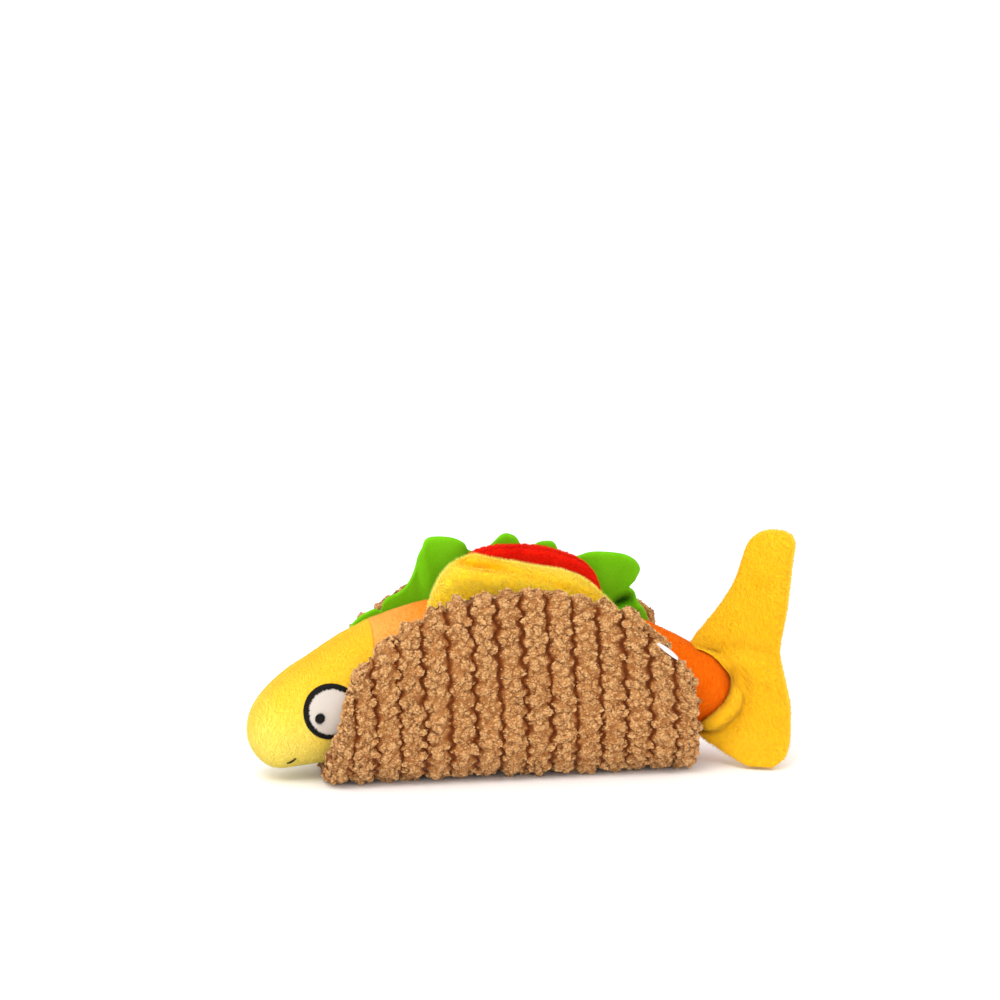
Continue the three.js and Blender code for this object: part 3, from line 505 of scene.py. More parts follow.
# Plush pile: thin tapered fibres that lean the way the cloth was brushed.
def pileTree():
    book, given, position = startTree("plushPile", "Fibre Length", "Fibre Width", "Fibres per Area", "Brushed",
                                      "Unevenness", "Patch Scale")
    seed = given["Seed"]
    fibre = book.add("GeometryNodeMeshCone", {"fill_type": "NGON"}, Vertices=3, Side_Segments=1, Radius_Top=0.0,
                     Radius_Bottom=book.maths("MULTIPLY", given["Fibre Width"], 0.5),
                     Depth=given["Fibre Length"]).outputs["Mesh"]
    up = book.add("ShaderNodeSeparateXYZ", Vector=position).outputs["Z"]
    # how far up each fibre a point lies: the finish paints shade at the roots with it
    fibre = book.store(fibre, "tip", book.maths("DIVIDE", up, given["Fibre Length"]))
    spots = book.add("GeometryNodeDistributePointsOnFaces", {"distribute_method": "RANDOM"}, Mesh=given["Geometry"],
                     Density=book.maths("MULTIPLY", given["Fibres per Area"], book.stored("pile")), Seed=seed).outputs
    patch = book.noise(position, given["Patch Scale"], 2, 0.5, "Color")
    stray = book.vectors("SCALE", book.vectors("SUBTRACT", patch, (0.5, 0.5, 0.5)), Scale=given["Unevenness"])
    lean = book.vectors("ADD", book.vectors("ADD", given["Brushed"], stray), book.random(None, 0.3, seed))
    aim = book.aim("Z", book.vectors("ADD", spots["Normal"], lean))
    return book.end(book.paint(book.plant(spots["Points"], fibre, aim, book.random(0.65, 1.2, seed)),
                               given["Material"]))


# Satin stitches: one slim lump of thread at each point of a row, lying along its own direction.
def stitchTree():
    book, given, _ = startTree("satinStitches", "Thread Width", "Thread Height")
    bead = book.add("GeometryNodeMeshUVSphere", Segments=6, Rings=6, Radius=0.5).outputs["Mesh"]
    lying = book.aim("X", book.stored("run", "FLOAT_VECTOR"), book.aim("Z", book.stored("outward", "FLOAT_VECTOR")))
    box = book.add("ShaderNodeCombineXYZ", X=book.stored("reach"), Y=given["Thread Width"], Z=given["Thread Height"])
    scale = book.vectors("SCALE", box.outputs[0], Scale=book.random(0.88, 1.12, given["Seed"]))
    return book.end(book.paint(book.plant(given["Geometry"], bead, lying, scale), given["Material"]))


trees = {"tufts": tuftTree(), "pile": pileTree(), "stitches": stitchTree()}


# Runs a tree on a base piece and gives the result as a plain mesh piece of its own.
def grow(base, tree, name, finish, seed, inputs):
    inputs = {**inputs, "Seed": seed, "Material": finishes[finish]}
    modifier = base.modifiers.new(trees[tree].name, "NODES")
    modifier.node_group = trees[tree]
    for item in trees[tree].interface.items_tree:
        if item.item_type == "SOCKET" and item.in_out == "INPUT" and item.name in inputs:
            modifier[item.identifier] = inputs[item.name]
    graph = bpy.context.evaluated_depsgraph_get()
    graph.update()
    mesh = bpy.data.meshes.new_from_object(base.evaluated_get(graph), preserve_all_data_layers=True, depsgraph=graph)
    base.modifiers.remove(modifier)
    mesh.name = name
    mesh.shade_smooth()
    return show(name, mesh)


# A padded cover and its pile, which is a piece of its own.
def dress(cover, pileName, look, *nodes):
    settle(cover, look["body"], look["slot"], *nodes, fill=look["fill"])
    settle(grow(cover, "pile", pileName, look["finish"], look["seed"], {
        "Fibre Length": look["length"] * mm, "Fibre Width": look["width"] * mm,
        "Fibres per Area": look["perSquareMm"] / mm ** 2, "Brushed": look["brushed"],
        "Unevenness": look["uneven"], "Patch Scale": look["patchScale"]}), look["body"], look["slot"])


print("chenille shell")

shell = {"halfLength": 91.5, "height": 94.5, "roundness": 2, "endHeight": 6, "footHalfWidth": 14.5,
         "cornerRadius": 20, "cornerTurn": 82 * degrees, "topTurn": 100 * degrees, "hingeTurn": 55 * degrees,
         "ribLean": -3 * degrees}
cloth = {
    "cords": 15, "cordDepth": 3.5, "backing": 1.6, "footZ": 3.0, "rimDepth": 6.7, "rimRound": 4.5,
    "scallop": 9.6, "tighter": 4, "tighterReach": 25, "waver": 0.85, "cordShare": 0.95, "shareDrift": 0.05,
    "lobeSide": 0.09, "lobeDepth": 1.5, "knobSize": 4.8, "knobDepth": 2.5, "fineSize": 2.3, "fineDepth": 1.0,
    "proud": 0.2, "rimBulge": 1.2, "rimNotch": 2.3, "rimKnob": 3.0, "rimBand": 5,
    "endTuck": 4.3, "endTuckReach": 56, "endTuckWidth": 16, "endTuckFrom": (55, 91), "rows": 130, "endColumns": 30,
    "innerGrid": (120, 40), "floorGap": 0.02, "fill": 0.35}
tufting = {"Tuft Length": 1.85, "Tuft Width": 1.3, "Tuft Height": 1.3, "Spacing": 0.765, "Raggedness": 0.9}
fullerRim = {1: [(60, 15, 2.5)], -1: [(73.5, 13, 13.5), (-52, 14, 1.8)]}  # by side: place along, width, mm more

foot, corner, cornerTurn = shell["footHalfWidth"], shell["cornerRadius"], shell["cornerTurn"]
cornerEnd = foot + corner * cornerTurn
cornerTopZ = cloth["footZ"] + corner * (1 - math.cos(cornerTurn))
sideRadius = (shell["height"] - cornerTopZ) / (math.cos(cornerTurn) - math.cos(shell["topTurn"]))
clothReach = cornerEnd + sideRadius * (shell["topTurn"] - cornerTurn)
hingeReach = foot + corner * shell["hingeTurn"]
cordPitch = 2 * shell["halfLength"] / cloth["cords"]
leanSlope = math.tan(shell["ribLean"])
rimMiddle = cloth["rimDepth"] / 2 - 1


def shellPoint(along, reach, depth):  # along the fold, round the wrap (front positive), in from the base line
    side, run = np.where(reach < 0, 1, -1), np.abs(reach)
    turn = np.clip((run - foot) / corner, 0, cornerTurn)
    y = np.minimum(run, foot) + corner * np.sin(turn)
    z = cloth["footZ"] + corner * (1 - np.cos(turn))
    turn = turn + np.maximum(run - cornerEnd, 0) / sideRadius
    past = run > cornerEnd
    y = y + np.where(past, sideRadius * (np.sin(turn) - math.sin(cornerTurn)), 0)
    z = z + np.where(past, sideRadius * (math.cos(cornerTurn) - np.cos(turn)), 0)
    # beside the head the front flap's end is tucked in a little
    tuck = bell(reach - cloth["endTuckReach"], cloth["endTuckWidth"]) * smoothStep(-along, *cloth["endTuckFrom"])
    x = along + leanSlope * reach + cloth["endTuck"] * tuck
    return pointsAt(x, side * y - depth * side * np.sin(turn), z + depth * np.cos(turn))


def rimReach(along, side, inset):  # how far up its side a flap reaches, a little fuller in places
    low = hingeReach + shell["endHeight"]
    reach = low
    for _ in range(6):
        x = np.minimum(np.abs(along + leanSlope * side * reach) / (shell["halfLength"] - inset), 1)
        reach = low + (clothReach - low) * (1 - x ** shell["roundness"]) ** (1 / shell["roundness"])
    return reach - inset + sum(more * bell(along - place, width) for place, width, more in fullerRim[side])


def grooveSway(groove, reach, seed):  # how a groove sways as it goes round, -1 to 1, and its slow drift
    slow = softNoise(pointsAt(groove * 5.3, reach / 14, seed * 3.1), 1.0, 7)
    quick = softNoise(pointsAt(groove * 3.9, reach / 7, seed * 2.3), 1.0, 8)
    rounds = reach / cloth["scallop"] + cloth["tighter"] * (1 - np.exp(-reach / cloth["tighterReach"]))
    phase = 2 * math.pi * (rounds + 0.31 * groove + 0.3 * slow)
    return np.sin(phase + 0.3 * np.sin(phase)) * (0.7 + 0.7 * quick), slow


def grooveAt(groove, reach, seed):  # where a groove runs along the fold: neighbouring cords interlock
    sway, slow = grooveSway(groove, reach, seed)
    inside = np.minimum(groove, cloth["cords"] - groove) > 0
    return groove * cordPitch - shell["halfLength"] + np.where(inside, cloth["waver"] * (sway + 0.5 * slow), 0)


def rimRoom(along, reach, high):  # how steeply the free edge runs, and the distances to it and to the shell's end
    slope = np.clip(np.gradient(high[:, 0]) / np.gradient(along[:, 0]), -12, 12)[:, None]
    steep = np.sqrt(1 + slope ** 2)
    return slope, steep, (high - reach) / steep, shell["halfLength"] - np.abs(along)


def knobbyRim(along, reach, high, off, side, seed):  # at the free edge the cords bulge out and end in knobs
    slope, steep, fromRim, fromEnd = rimRoom(along, reach, high)
    atEnd = fromEnd < fromRim
    knob = knobNoise(shellPoint(along, side * reach, 0), cloth["knobSize"], 21 + seed)
    ends = np.where(atEnd, 0, cloth["rimBulge"] * (1 - off ** 2) - cloth["rimNotch"] * off ** 4)
    near = 1 - smoothStep(np.minimum(fromRim, fromEnd), 0, cloth["rimBand"])
    more = (ends + cloth["rimKnob"] * (knob - 0.6)) * near * smoothStep(reach, hingeReach, hingeReach + 8)
    return (along + more * np.where(atEnd, np.sign(along), -slope / steep),
            reach + more * np.where(atEnd, 0, 1 / steep))


def chenilleHalf(side, word, seed):
    rows, low, ends = cloth["rows"], seamGap / 2, cloth["endColumns"]
    # the grid follows the grooves, closer together beside them and where the rim runs steeply down
    cordShares = np.array([0, 0.035, 0.08, 0.15, 0.25, 0.37, 0.5, 0.63, 0.75, 0.85, 0.92, 0.965])
    endShares = steps(ends)[:-1] ** 2
    between = cloth["cords"] - 2
    cord = np.repeat(np.arange(cloth["cords"]), [ends] + [len(cordShares)] * between + [ends + 1])[:, None]
    part = np.concatenate([endShares, np.tile(cordShares, between), [0], (1 - endShares[1:])[::-1], [1]])[:, None]
    columns = len(cord) - 1
    straight = (cord + part) * cordPitch - shell["halfLength"]
    off = 2 * part - 1
    high = rimReach(straight, side, 0)
    reach = low + steps(rows) * (high - low)
    left, right = grooveAt(cord, reach, seed), grooveAt(cord + 1, reach, seed)
    along = left + part * (right - left)
    # each cord bunches into lobes, which swell into the sways of the groove beside them
    sway, drift = grooveSway(cord + (off > 0), reach, seed)
    lobe = np.clip(0.5 + 0.5 * np.where(off > 0, sway, -sway), 0, 1)
    share = cloth["cordShare"] + cloth["shareDrift"] * drift + 2 * cloth["lobeSide"] * (lobe - 0.6)
    run = np.clip(np.abs(off) / share, 0, 1)
    height = (cloth["cordDepth"] + cloth["proud"]) * dome(run)
    height = height - cloth["lobeDepth"] * (1 - lobe) ** 2 * smoothStep(run, 0.1, 0.6) * (1 - run ** 3)
    crown = smoothStep(1 - run, 0.0, 0.16)
    room = np.minimum(*rimRoom(along, reach, high)[2:])
    along, reach = knobbyRim(along, reach, high, off, side, seed)
    roll = quarterRound(room, cloth["rimRound"])
    middle = np.where(reach > hingeReach, rimMiddle, cloth["backing"] / 2)
    base = shellPoint(along, side * reach, 0)
    knob, fine = knobNoise(base, cloth["knobSize"], 21 + seed), knobNoise(base, cloth["fineSize"], 31 + seed)
    knobs = cloth["knobDepth"] * (knob - 0.65) + cloth["fineDepth"] * (fine - 0.6)
    outer = shellPoint(along, side * reach, middle - (height + middle) * roll)
    normals = gridNormals(outer)
    normals = normals * -side * np.sign(normals[columns // 2, rows // 2, 1])
    outer = outer + normals * (knobs * (0.1 + 0.9 * np.maximum(crown, 1 - roll)))[..., None]
    outer[..., 2] = np.maximum(outer[..., 2], 0.05)
    # the rolled rim is all pile, with no groove showing at its very edge
    crown = np.maximum(crown, 0.5 * (1 - smoothStep(room, 0.3, 1.4)))
    # fewer, smaller tufts between the knobs, and painted shade there: ground and tufts are darker in these creases
    crown = crown * (0.5 + 0.5 * smoothStep(knob + 0.6 * fine, 0.1, 0.9))
    across = pointsAt(np.sign(off) + 0 * crown, 0, 0)

    # inside; past the hinge the cover holds the flap's filling as well
    innerColumns, innerRows = cloth["innerGrid"]
    straight = np.interp(np.linspace(0, columns, innerColumns + 1), np.arange(columns + 1), straight[:, 0])[:, None]
    high = rimReach(straight, side, 0)
    reach = low + steps(innerRows) * (high - low)
    room = np.minimum(*rimRoom(straight, reach, high)[2:])
    thick = cloth["backing"] + (cloth["rimDepth"] - cloth["backing"]) * smoothStep(reach, hingeReach, hingeReach + 3)
    middle = np.where(reach > hingeReach, rimMiddle, cloth["backing"] / 2)
    cord = np.clip(np.floor((straight + shell["halfLength"]) / cordPitch), 0, cloth["cords"] - 1)
    left, right = grooveAt(cord, reach, seed), grooveAt(cord + 1, reach, seed)
    off = np.clip(2 * (straight - left) / (right - left) - 1, -1, 1)
    # the pile goes over the rim and a little way down inside
    overRim = (1 - smoothStep(room, 1.5, 3.0)) * (reach > hingeReach)
    straight, reach = knobbyRim(straight, reach, high, off, side, seed)
    inner = shellPoint(straight, side * reach, middle + (thick - middle) * quarterRound(room, 2.0))
    inner[..., 2] = np.maximum(inner[..., 2], 0.4)

    base = addSheet("shell" + word, outer, inner, "chenilleBase", crown=(crown, overRim), across=across)
    piece = grow(base, "tufts", "chenille" + word, "chenilleTuft", 40 + seed,
                 {label: size * mm for label, size in tufting.items()})
    bpy.data.objects.remove(base)
    # what stands on the floor is pressed flat there
    places = np.empty(len(piece.data.vertices) * 3)
    piece.data.vertices.foreach_get("co", places)
    places[2::3] = np.maximum(places[2::3], cloth["floorGap"] * mm)
    piece.data.vertices.foreach_set("co", places)
    piece.data.update()
    return piece


def bendAtHinge(piece):
    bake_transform(piece)


for side, word in sides:
    piece = chenilleHalf(-side, word, 3 if side > 0 else 0)
    low = word.lower()
    bendAtHinge(piece)
    settle(piece, None, "chenille", f"shell_{low}_chenille", f"shell_{low}_padding", "shell_bottom_chenille",
           fill=cloth["fill"])
    print("  chenille", word, len(piece.data.polygons), "faces")

print("shell lining")

# flatShare: the plain cloth's area by the napped one's
lining = {"bottomDepth": 1.9, "flapDepth": 7.0, "thickness": 1.2, "inset": 0.3, "rimInset": 2.2, "nubSize": 1.6,
          "nubDepth": 0.3, "edgeRound": 1.2, "grid": (120, 80), "flatShare": 0.93}


def liningHalf(side, word):
    half, low = shell["halfLength"] - lining["inset"], seamGap / 2
    columns, rows = lining["grid"]
    along = np.linspace(-half, half, columns + 1)[:, None]
    high = rimReach(along, side, lining["rimInset"])
    reach = low + steps(rows) * (high - low)
    depth = lining["bottomDepth"] + (lining["flapDepth"] - lining["bottomDepth"]) * smoothStep(
        reach, hingeReach - 1.0, hingeReach + 0.6)
    back = shellPoint(along, side * reach, depth)
    nubs = lining["nubDepth"] * (softNoise(back, lining["nubSize"], 51) - 0.3)
    roll = quarterRound(np.minimum(*rimRoom(along, reach, high)[2:]), lining["edgeRound"])
    face = shellPoint(along, side * reach, depth + (lining["thickness"] + nubs) * (0.15 + 0.85 * roll))
    piece = addSheet("lining" + word, face, back, "lining")
    bendAtHinge(piece)
    settle(piece, None, "lining", f"shell_{word.lower()}_lining", "shell_bottom_lining")


for side, word in sides:
    liningHalf(-side, word)

print("blank seam tab")

tab = {"middle": 75.5, "length": 10.5, "width": 1.9, "thickness": 0.5, "inside": (4.5, 0.9), "lift": (0.2, 1.3),
       "grid": (40, 5)}


def seamTab():
    run, up = steps(tab["grid"][0])[:, None], steps(tab["grid"][1])
    along = tab["middle"] + tab["length"] * (run - 0.5 + 0 * up)
    high = rimReach(along, 1, 0)
    steep = rimRoom(along, high, high)[1]
    room = tab["inside"][0] + (tab["inside"][1] - tab["inside"][0]) * run
    room = room + tab["width"] * (dome(2 * run - 1) * 0.75 + 0.25) * (0.5 - up)
    # it follows the rounded edge of the cloth, standing a little off it towards its free side
    face = rimMiddle - (cloth["cordDepth"] - 0.5 + rimMiddle) * quarterRound(np.maximum(room, 0.3), cloth["rimRound"])
    lift = tab["lift"][0] + (tab["lift"][1] - tab["lift"][0]) * up + 0.2 * np.sin(along * 0.8) * up
    half = tab["thickness"] / 2 * (0.55 + 0.45 * quarterRound(1 - up, 0.3))
    piece = addSheet("seamTab", *(shellPoint(along, high - room * steep, face - lift + way * half) for way in (-1, 1)),
                     "satin")
    settle(piece, "front_flap", "satin_tab", "seam_tab")


seamTab()

print("fish")

fish = {"snoutX": -126.5, "length": 240, "backHeight": 87, "halfWidth": 26.3, "snoutRound": 16,
        "headSeamX": -67.2, "skin": 1.6, "domeRadius": 18, "around": 72, "step": 1.4}
sewing = {"valley": 1.25, "ringValley": 0.55, "width": 2.6, "pucker": 0.3, "puckerSize": 3.4, "ringPucker": 12,
          "puckerReach": 3.6, "lump": 0.45, "lumpSize": 22}
hingeX = fish["snoutX"] + fish["length"] - fish["domeRadius"]
backLine = smoothLine([
    (0, 0.48), (0.047, 0.53), (0.088, 0.615), (0.121, 0.672), (0.1475, 0.72), (0.174, 0.767), (0.2, 0.808),
    (0.253, 0.873), (0.364, 0.966), (0.5, 1), (0.6235, 0.971), (0.767, 0.863), (0.87, 0.737), (0.926, 0.651)])
bellyLine = smoothLine([(0, 0.057), (0.068, 0.057), (0.138, 0.078), (0.171, 0.081), (0.377, 0.08), (0.541, 0.08),
                        (0.706, 0.097), (0.829, 0.137), (0.926, 0.177)])
widthLine = smoothLine([(0, 0.72), (0.068, 0.8), (0.13, 0.894), (0.253, 0.97), (0.418, 1), (0.541, 0.989),
                        (0.665, 0.932), (0.788, 0.817), (0.87, 0.722), (0.926, 0.684)])


def fishSection(x, inset):  # middle height, half height and half width of the fish's oval at x
    share = (np.minimum(x, hingeX) - fish["snoutX"]) / fish["length"]
    top, bottom = backLine(share) * fish["backHeight"], bellyLine(share) * fish["backHeight"]
    snoutRun = (fish["snoutX"] + fish["snoutRound"] - x) / (fish["snoutRound"] - inset)
    domeRun = (x - hingeX) / (fish["domeRadius"] - inset)
    close = dome(np.clip(np.maximum(snoutRun, domeRun), 0, 1))
    return ((top + bottom) / 2, ((top - bottom) / 2 - inset) * close,
            (widthLine(share) * fish["halfWidth"] - inset) * close)


def halfAt(x, z, gap):  # how far the fish's side stands from its middle plane, with a gap round it
    middle, halfHeight, halfWidth = fishSection(x, -gap)
    return halfWidth * dome(np.clip((z - middle) / np.maximum(halfHeight, 1e-6), -1, 1))


def clearOfFish(points, gap):  # pushes points out sideways until they stand gap off the fish
    least, y = halfAt(points[..., 0], points[..., 2], gap), points[..., 1]
    return pointsAt(points[..., 0], np.where(np.abs(y) < least, np.where(y < 0, -least, least), y), points[..., 2])


def fishStations(start, end, step):
    snout, tail = fish["snoutX"] + fish["snoutRound"], hingeX + fish["domeRadius"]
    turn = np.linspace(0, math.pi / 2, 16)
    places = np.concatenate([snout - fish["snoutRound"] * np.cos(turn), np.arange(snout + step, hingeX, step),
                             hingeX + fish["domeRadius"] * np.sin(turn)])
    inside = places[(places > start + 0.3) & (places < end - 0.3)]
    beside = np.array([0.5, 1.1, 1.8])  # closer together beside the seam behind the head
    extra = np.append(start + beside if start > fish["snoutX"] + 1 else [], end - beside if end < tail - 1 else [])
    return np.unique(np.concatenate([[max(start, places[0])], inside, extra, [min(end, tail)]]))


def fishPanel(side, start, end, name, finish, seed):
    x, angle = fishStations(start, end, fish["step"])[:, None], np.linspace(0, math.pi, fish["around"] + 1)

    def face(inset, drop):
        middle, halfHeight, halfWidth = fishSection(x, inset)
        sink = 1 - drop / np.maximum(np.hypot(halfHeight, halfWidth) / 1.4, 1.5)
        y = side * (seamGap / 2 + halfWidth * np.sin(angle) * sink)
        return pointsAt(x, y, middle + halfHeight * np.cos(angle) * sink)

    plain = face(0, 0)
    middle, halfHeight, halfWidth = fishSection(x, 0)
    toMiddleSeam = np.minimum(angle, math.pi - angle) * np.maximum(halfWidth, 0.5)
    toHeadSeam = np.abs(x - fish["headSeamX"])
    toSeam = np.minimum(toMiddleSeam, toHeadSeam)
    valley = np.maximum(sewing["valley"] * (1 - quarterRound(toMiddleSeam, sewing["width"])),
                        sewing["ringValley"] * (1 - quarterRound(toHeadSeam, sewing["width"])))
    alongMiddle = softNoise(pointsAt(x / sewing["puckerSize"], angle * 1.3, 0), 1.0, seed)
    aroundRing = angle * halfHeight / sewing["puckerSize"]
    alongRing = softNoise(pointsAt(x / sewing["ringPucker"], aroundRing, 0), 1.0, seed + 1)
    pucker = np.where(toHeadSeam < toMiddleSeam, alongRing, alongMiddle) + 0.5
    pucker = sewing["pucker"] * pucker * np.exp(-toSeam / sewing["puckerReach"]) * smoothStep(toSeam, 0, 2)
    lump = sewing["lump"] * (softNoise(plain, sewing["lumpSize"], seed + 2) + 0.6)
    calm = smoothStep(np.hypot(x - eye["x"], plain[..., 2] - eye["z"]), eye["radius"] - 1, eye["radius"] + 6)
    drop = valley + (pucker + lump) * smoothStep(toSeam, 0, 5) * calm
    outer = face(0, np.minimum(drop, sewing["valley"]))
    inner = face(fish["skin"], 0)[np.unique([*range(0, len(x), 2), len(x) - 1])][:, ::3]
    pile = smoothStep(toMiddleSeam, 0.2, 1.6) * (0.3 + 0.7 * smoothStep(np.maximum(halfWidth, 0), 0.3, 3))
    # less of it between the flaps, where the fillings lie on it
    pile = pile * (1 - 0.75 * smoothStep(x, -55, -35) * (1 - smoothStep(x, 50, 65)))
    return addSheet(name, outer, inner, finish, pile=pile)


eye = {"x": -88.5, "z": 36, "radius": 13.6, "ringWidth": 2.1, "low": 0.3, "thickness": 0.8, "crown": 0.35,
       "pupilRadius": 2.4, "pupilX": -94.5, "pupilZ": 33.5, "pupilTall": 1.2, "pupilThread": 0.75, "slant": 0.25,
       "stitches": 150, "threadWidth": 0.66, "reach": (2.3, 3.5)}
headPile = {"body": "fish", "slot": "yellow_plush", "finish": "yellow", "fill": 0.8, "seed": 3, "length": 0.75,
            "width": 0.2, "perSquareMm": 7.0, "brushed": (0.15, 0.0, -0.1), "uneven": 0.3, "patchScale": 70.0}
bodyPile = {**headPile, "slot": "orange_plush", "finish": "orange", "seed": 5, "perSquareMm": 4.5}
headEnds = (fish["snoutX"], fish["headSeamX"] - 0.03)
bodyEnds = (fish["headSeamX"] + 0.03, hingeX + fish["domeRadius"])

for side, word in sides:
    head = fishPanel(side, *headEnds, "head" + word, "yellow", 60)
    dress(head, "headPile" + word, headPile, "head_" + word.lower())
    body = fishPanel(side, *bodyEnds, "body" + word, "orange", 70)
    dress(body, "bodyPile" + word, bodyPile, "body_" + word.lower(), "fish_stuffing")

print("eyes and mouth")


def sideY(x, z):
    return seamGap / 2 + halfAt(x, z, 0)


def patchPoint(side, x, z, height):
    return pointsAt(x, side * (sideY(x, z) + height), z)


def roundPatch(name, slot, node, side, x, z, hole, radius, low, high, crown, finish):
    angle, share = np.linspace(0, 2 * math.pi, 73)[:, None], steps(10)
    far = hole + (radius - hole) * share
    px, pz = x + far * np.cos(angle), z + far * np.sin(angle)
    edge = np.minimum(share if hole > 0 else 1, 1 - share) * (radius - hole)
    lift = (high - low) * quarterRound(edge, 0.6) + crown * np.sin(math.pi / 2 * (1 - share))
    settle(addSheet(name, patchPoint(side, px, pz, low + lift), patchPoint(side, px, pz, low), finish),
           "fish", slot, node)


def stitchRow(name, side, places, directions, reaches, height, width, seed):
    x, z = places.T
    ahead = 0.2  # how far apart the side's slope is read
    slopeX = (sideY(x + ahead, z) - sideY(x - ahead, z)) / (2 * ahead)
    slopeZ = (sideY(x, z + ahead) - sideY(x, z - ahead)) / (2 * ahead)
    row = addMesh(name + "Row", patchPoint(side, x, z, height), [], reach=reaches * mm,
                  outward=unit(pointsAt(-slopeX, 1.0 * side, -slopeZ)),
                  run=pointsAt(directions[:, 0], 0, directions[:, 1]))
    sizes = {"Thread Width": width * mm, "Thread Height": width * 0.8 * mm}
    settle(grow(row, "stitches", name, "thread", seed, sizes), "fish", "black_thread")
    bpy.data.objects.remove(row)


def eyePieces(side, word, seed):
    bottom, top = eye["low"], eye["low"] + eye["thickness"]
    inside, low = eye["radius"] - eye["ringWidth"], word.lower()
    roundPatch("eyeRing" + word, "black_thread", "eye_ring_" + low, side, eye["x"], eye["z"], inside, eye["radius"],
               bottom, top - 0.1, 0, "thread")
    roundPatch("eyeDisc" + word, "eye_felt", "eye_white_" + low, side, eye["x"], eye["z"], 0, inside + 0.3,
               bottom, top - 0.3, eye["crown"], "eyeFelt")
    chance = np.random.default_rng(seed)
    count = eye["stitches"]
    angle = np.arange(count) / count * 2 * math.pi + chance.uniform(-0.01, 0.01, count)
    reaches = chance.uniform(*eye["reach"], count)
    radius = eye["radius"] + 0.2 - reaches / 2
    places = np.stack([eye["x"] + radius * np.cos(angle), eye["z"] + radius * np.sin(angle)], -1)
    slant = angle + eye["slant"] + chance.uniform(-0.12, 0.12, count)
    stitchRow("eyeStitches" + word, side, places, np.stack([np.cos(slant), np.sin(slant)], -1), reaches, top - 0.05,
              eye["threadWidth"], seed)
    roundPatch("pupil" + word, "black_thread", "pupil_" + low, side, eye["pupilX"], eye["pupilZ"], 0,
               eye["pupilRadius"] - 0.15, top + 0.1, top + 0.6, 0.1, "thread")
    rows = np.linspace(-1, 1, 11)[1:-1] * eye["pupilRadius"]
    places = np.stack([eye["pupilX"] + rows, np.full(len(rows), eye["pupilZ"])], -1)
    reaches = 2 * eye["pupilTall"] * np.sqrt(np.maximum(eye["pupilRadius"] ** 2 - rows ** 2, 0.2))
    reaches = reaches + chance.uniform(-0.2, 0.3, len(rows))
    stitchRow("pupilStitches" + word, side, places, np.tile([0.12, 1.0], (len(rows), 1)), reaches, top + 0.55,
              eye["pupilThread"], seed + 1)


mouth = {"from": (-108.6, 9.7), "to": (-105.4, 12.2), "sag": 0.4, "stitches": 7, "reach": 1.5, "width": 1.0,
         "lift": 0.45, "crossLift": 0.6}


def mouthStitch(side, word):
    share = steps(mouth["stitches"] - 1)
    start, end = np.array(mouth["from"]), np.array(mouth["to"])
    places = start + share[:, None] * (end - start)
    places[:, 1] -= mouth["sag"] * np.sin(math.pi * share)
    run, reaches = np.gradient(places, axis=0), np.full(len(share), mouth["reach"])
    stitchRow("mouthStitch" + word, side, places, run, reaches, mouth["lift"], mouth["width"], 9)
    # two short stitches across its middle thicken it there
    stitchRow("mouthCross" + word, side, places[3:5], run[3:5] + [0.0, 0.25], reaches[3:5], mouth["crossLift"],
              mouth["width"], 10)


for side, word in sides:
    eyePieces(side, word, 80 + side)
    mouthStitch(side, word)

print("tail fin")

fin = {"reach": 48.6, "height": 116, "halfThickness": 7.5, "edgeHalfThickness": 2.4, "skin": 1.4, "curl": 16,
       "curlShare": 0.36, "restTurn": -27 * degrees, "edgeRound": 2.6, "socketRadius": 18.9, "socketHalfHeight": 21.5,
       "socketZ": 36, "grooveDepth": 1.4, "grooveOff": 8.5, "grooveWidth": 3.0, "grooveScale": 19.5,
       "creaseDepth": 1.6, "creaseWidth": 4.4, "lump": 0.5, "lumpSize": 16, "pucker": 0.22, "puckerSize": 3.6,
       "puckerReach": 5, "leastHalf": 0.08, "grid": (130, 44), "rollGap": 0.6, "rollLump": 0.08, "rollGrid": (60, 20)}
finShares = [  # height, near and far edge, as shares of the fin's height and reach
    (0.01, 0.62, 0.86), (0.045, 0.43, 0.965), (0.09, 0.19, 1.0), (0.15, 0.0, 1.0), (0.25, 0.0, 0.98),
    (0.34, 0.0, 0.93), (0.44, -0.04, 0.875), (0.505, -0.05, 0.865), (0.59, 0.095, 0.9), (0.68, 0.255, 0.935),
    (0.78, 0.39, 0.96), (0.87, 0.46, 0.98), (0.94, 0.52, 1), (0.98, 0.61, 0.96), (1, 0.72, 0.86)]
# height, half thickness
finFoot = [(0, 2.4), (12, 3.2), (42, 3.2), (48, 6.4), (55, 7.0), (59, 5.0), (64, 2.4), (120, 2.4)]
creaseLine = [(6, 53.5), (16, 56.8), (26, 57.2), (36, 54.6), (44, 51.8)]  # along the fin, then height
# the roll of plush sewn round the stalk's end: where it touches the stalk (height, turn from the fin), its radius
collarLine = [(48, 0, 0.8), (43, 1, 2.2), (36.5, 8, 3.4), (30.5, 19, 4.0), (26, 36, 3.8), (22.5, 52, 3.0),
              (20.5, 62, 1.2)]
finPile = {"body": "tail_fin", "slot": "fin_plush", "finish": "fin", "fill": 0.5, "seed": 13, "length": 1.2,
           "width": 0.24, "perSquareMm": 4.5, "brushed": (0.15, 0.0, 0.35), "uneven": 0.6, "patchScale": 80.0}
rollPile = {**finPile, "fill": 0.6, "seed": 15}


def finPlace(along, y, z):  # from the fin's own plane to where it stands at rest
    c, s = math.cos(fin["restTurn"]), math.sin(fin["restTurn"])
    return pointsAt(hingeX + along * c - y * s, along * s + y * c, z)


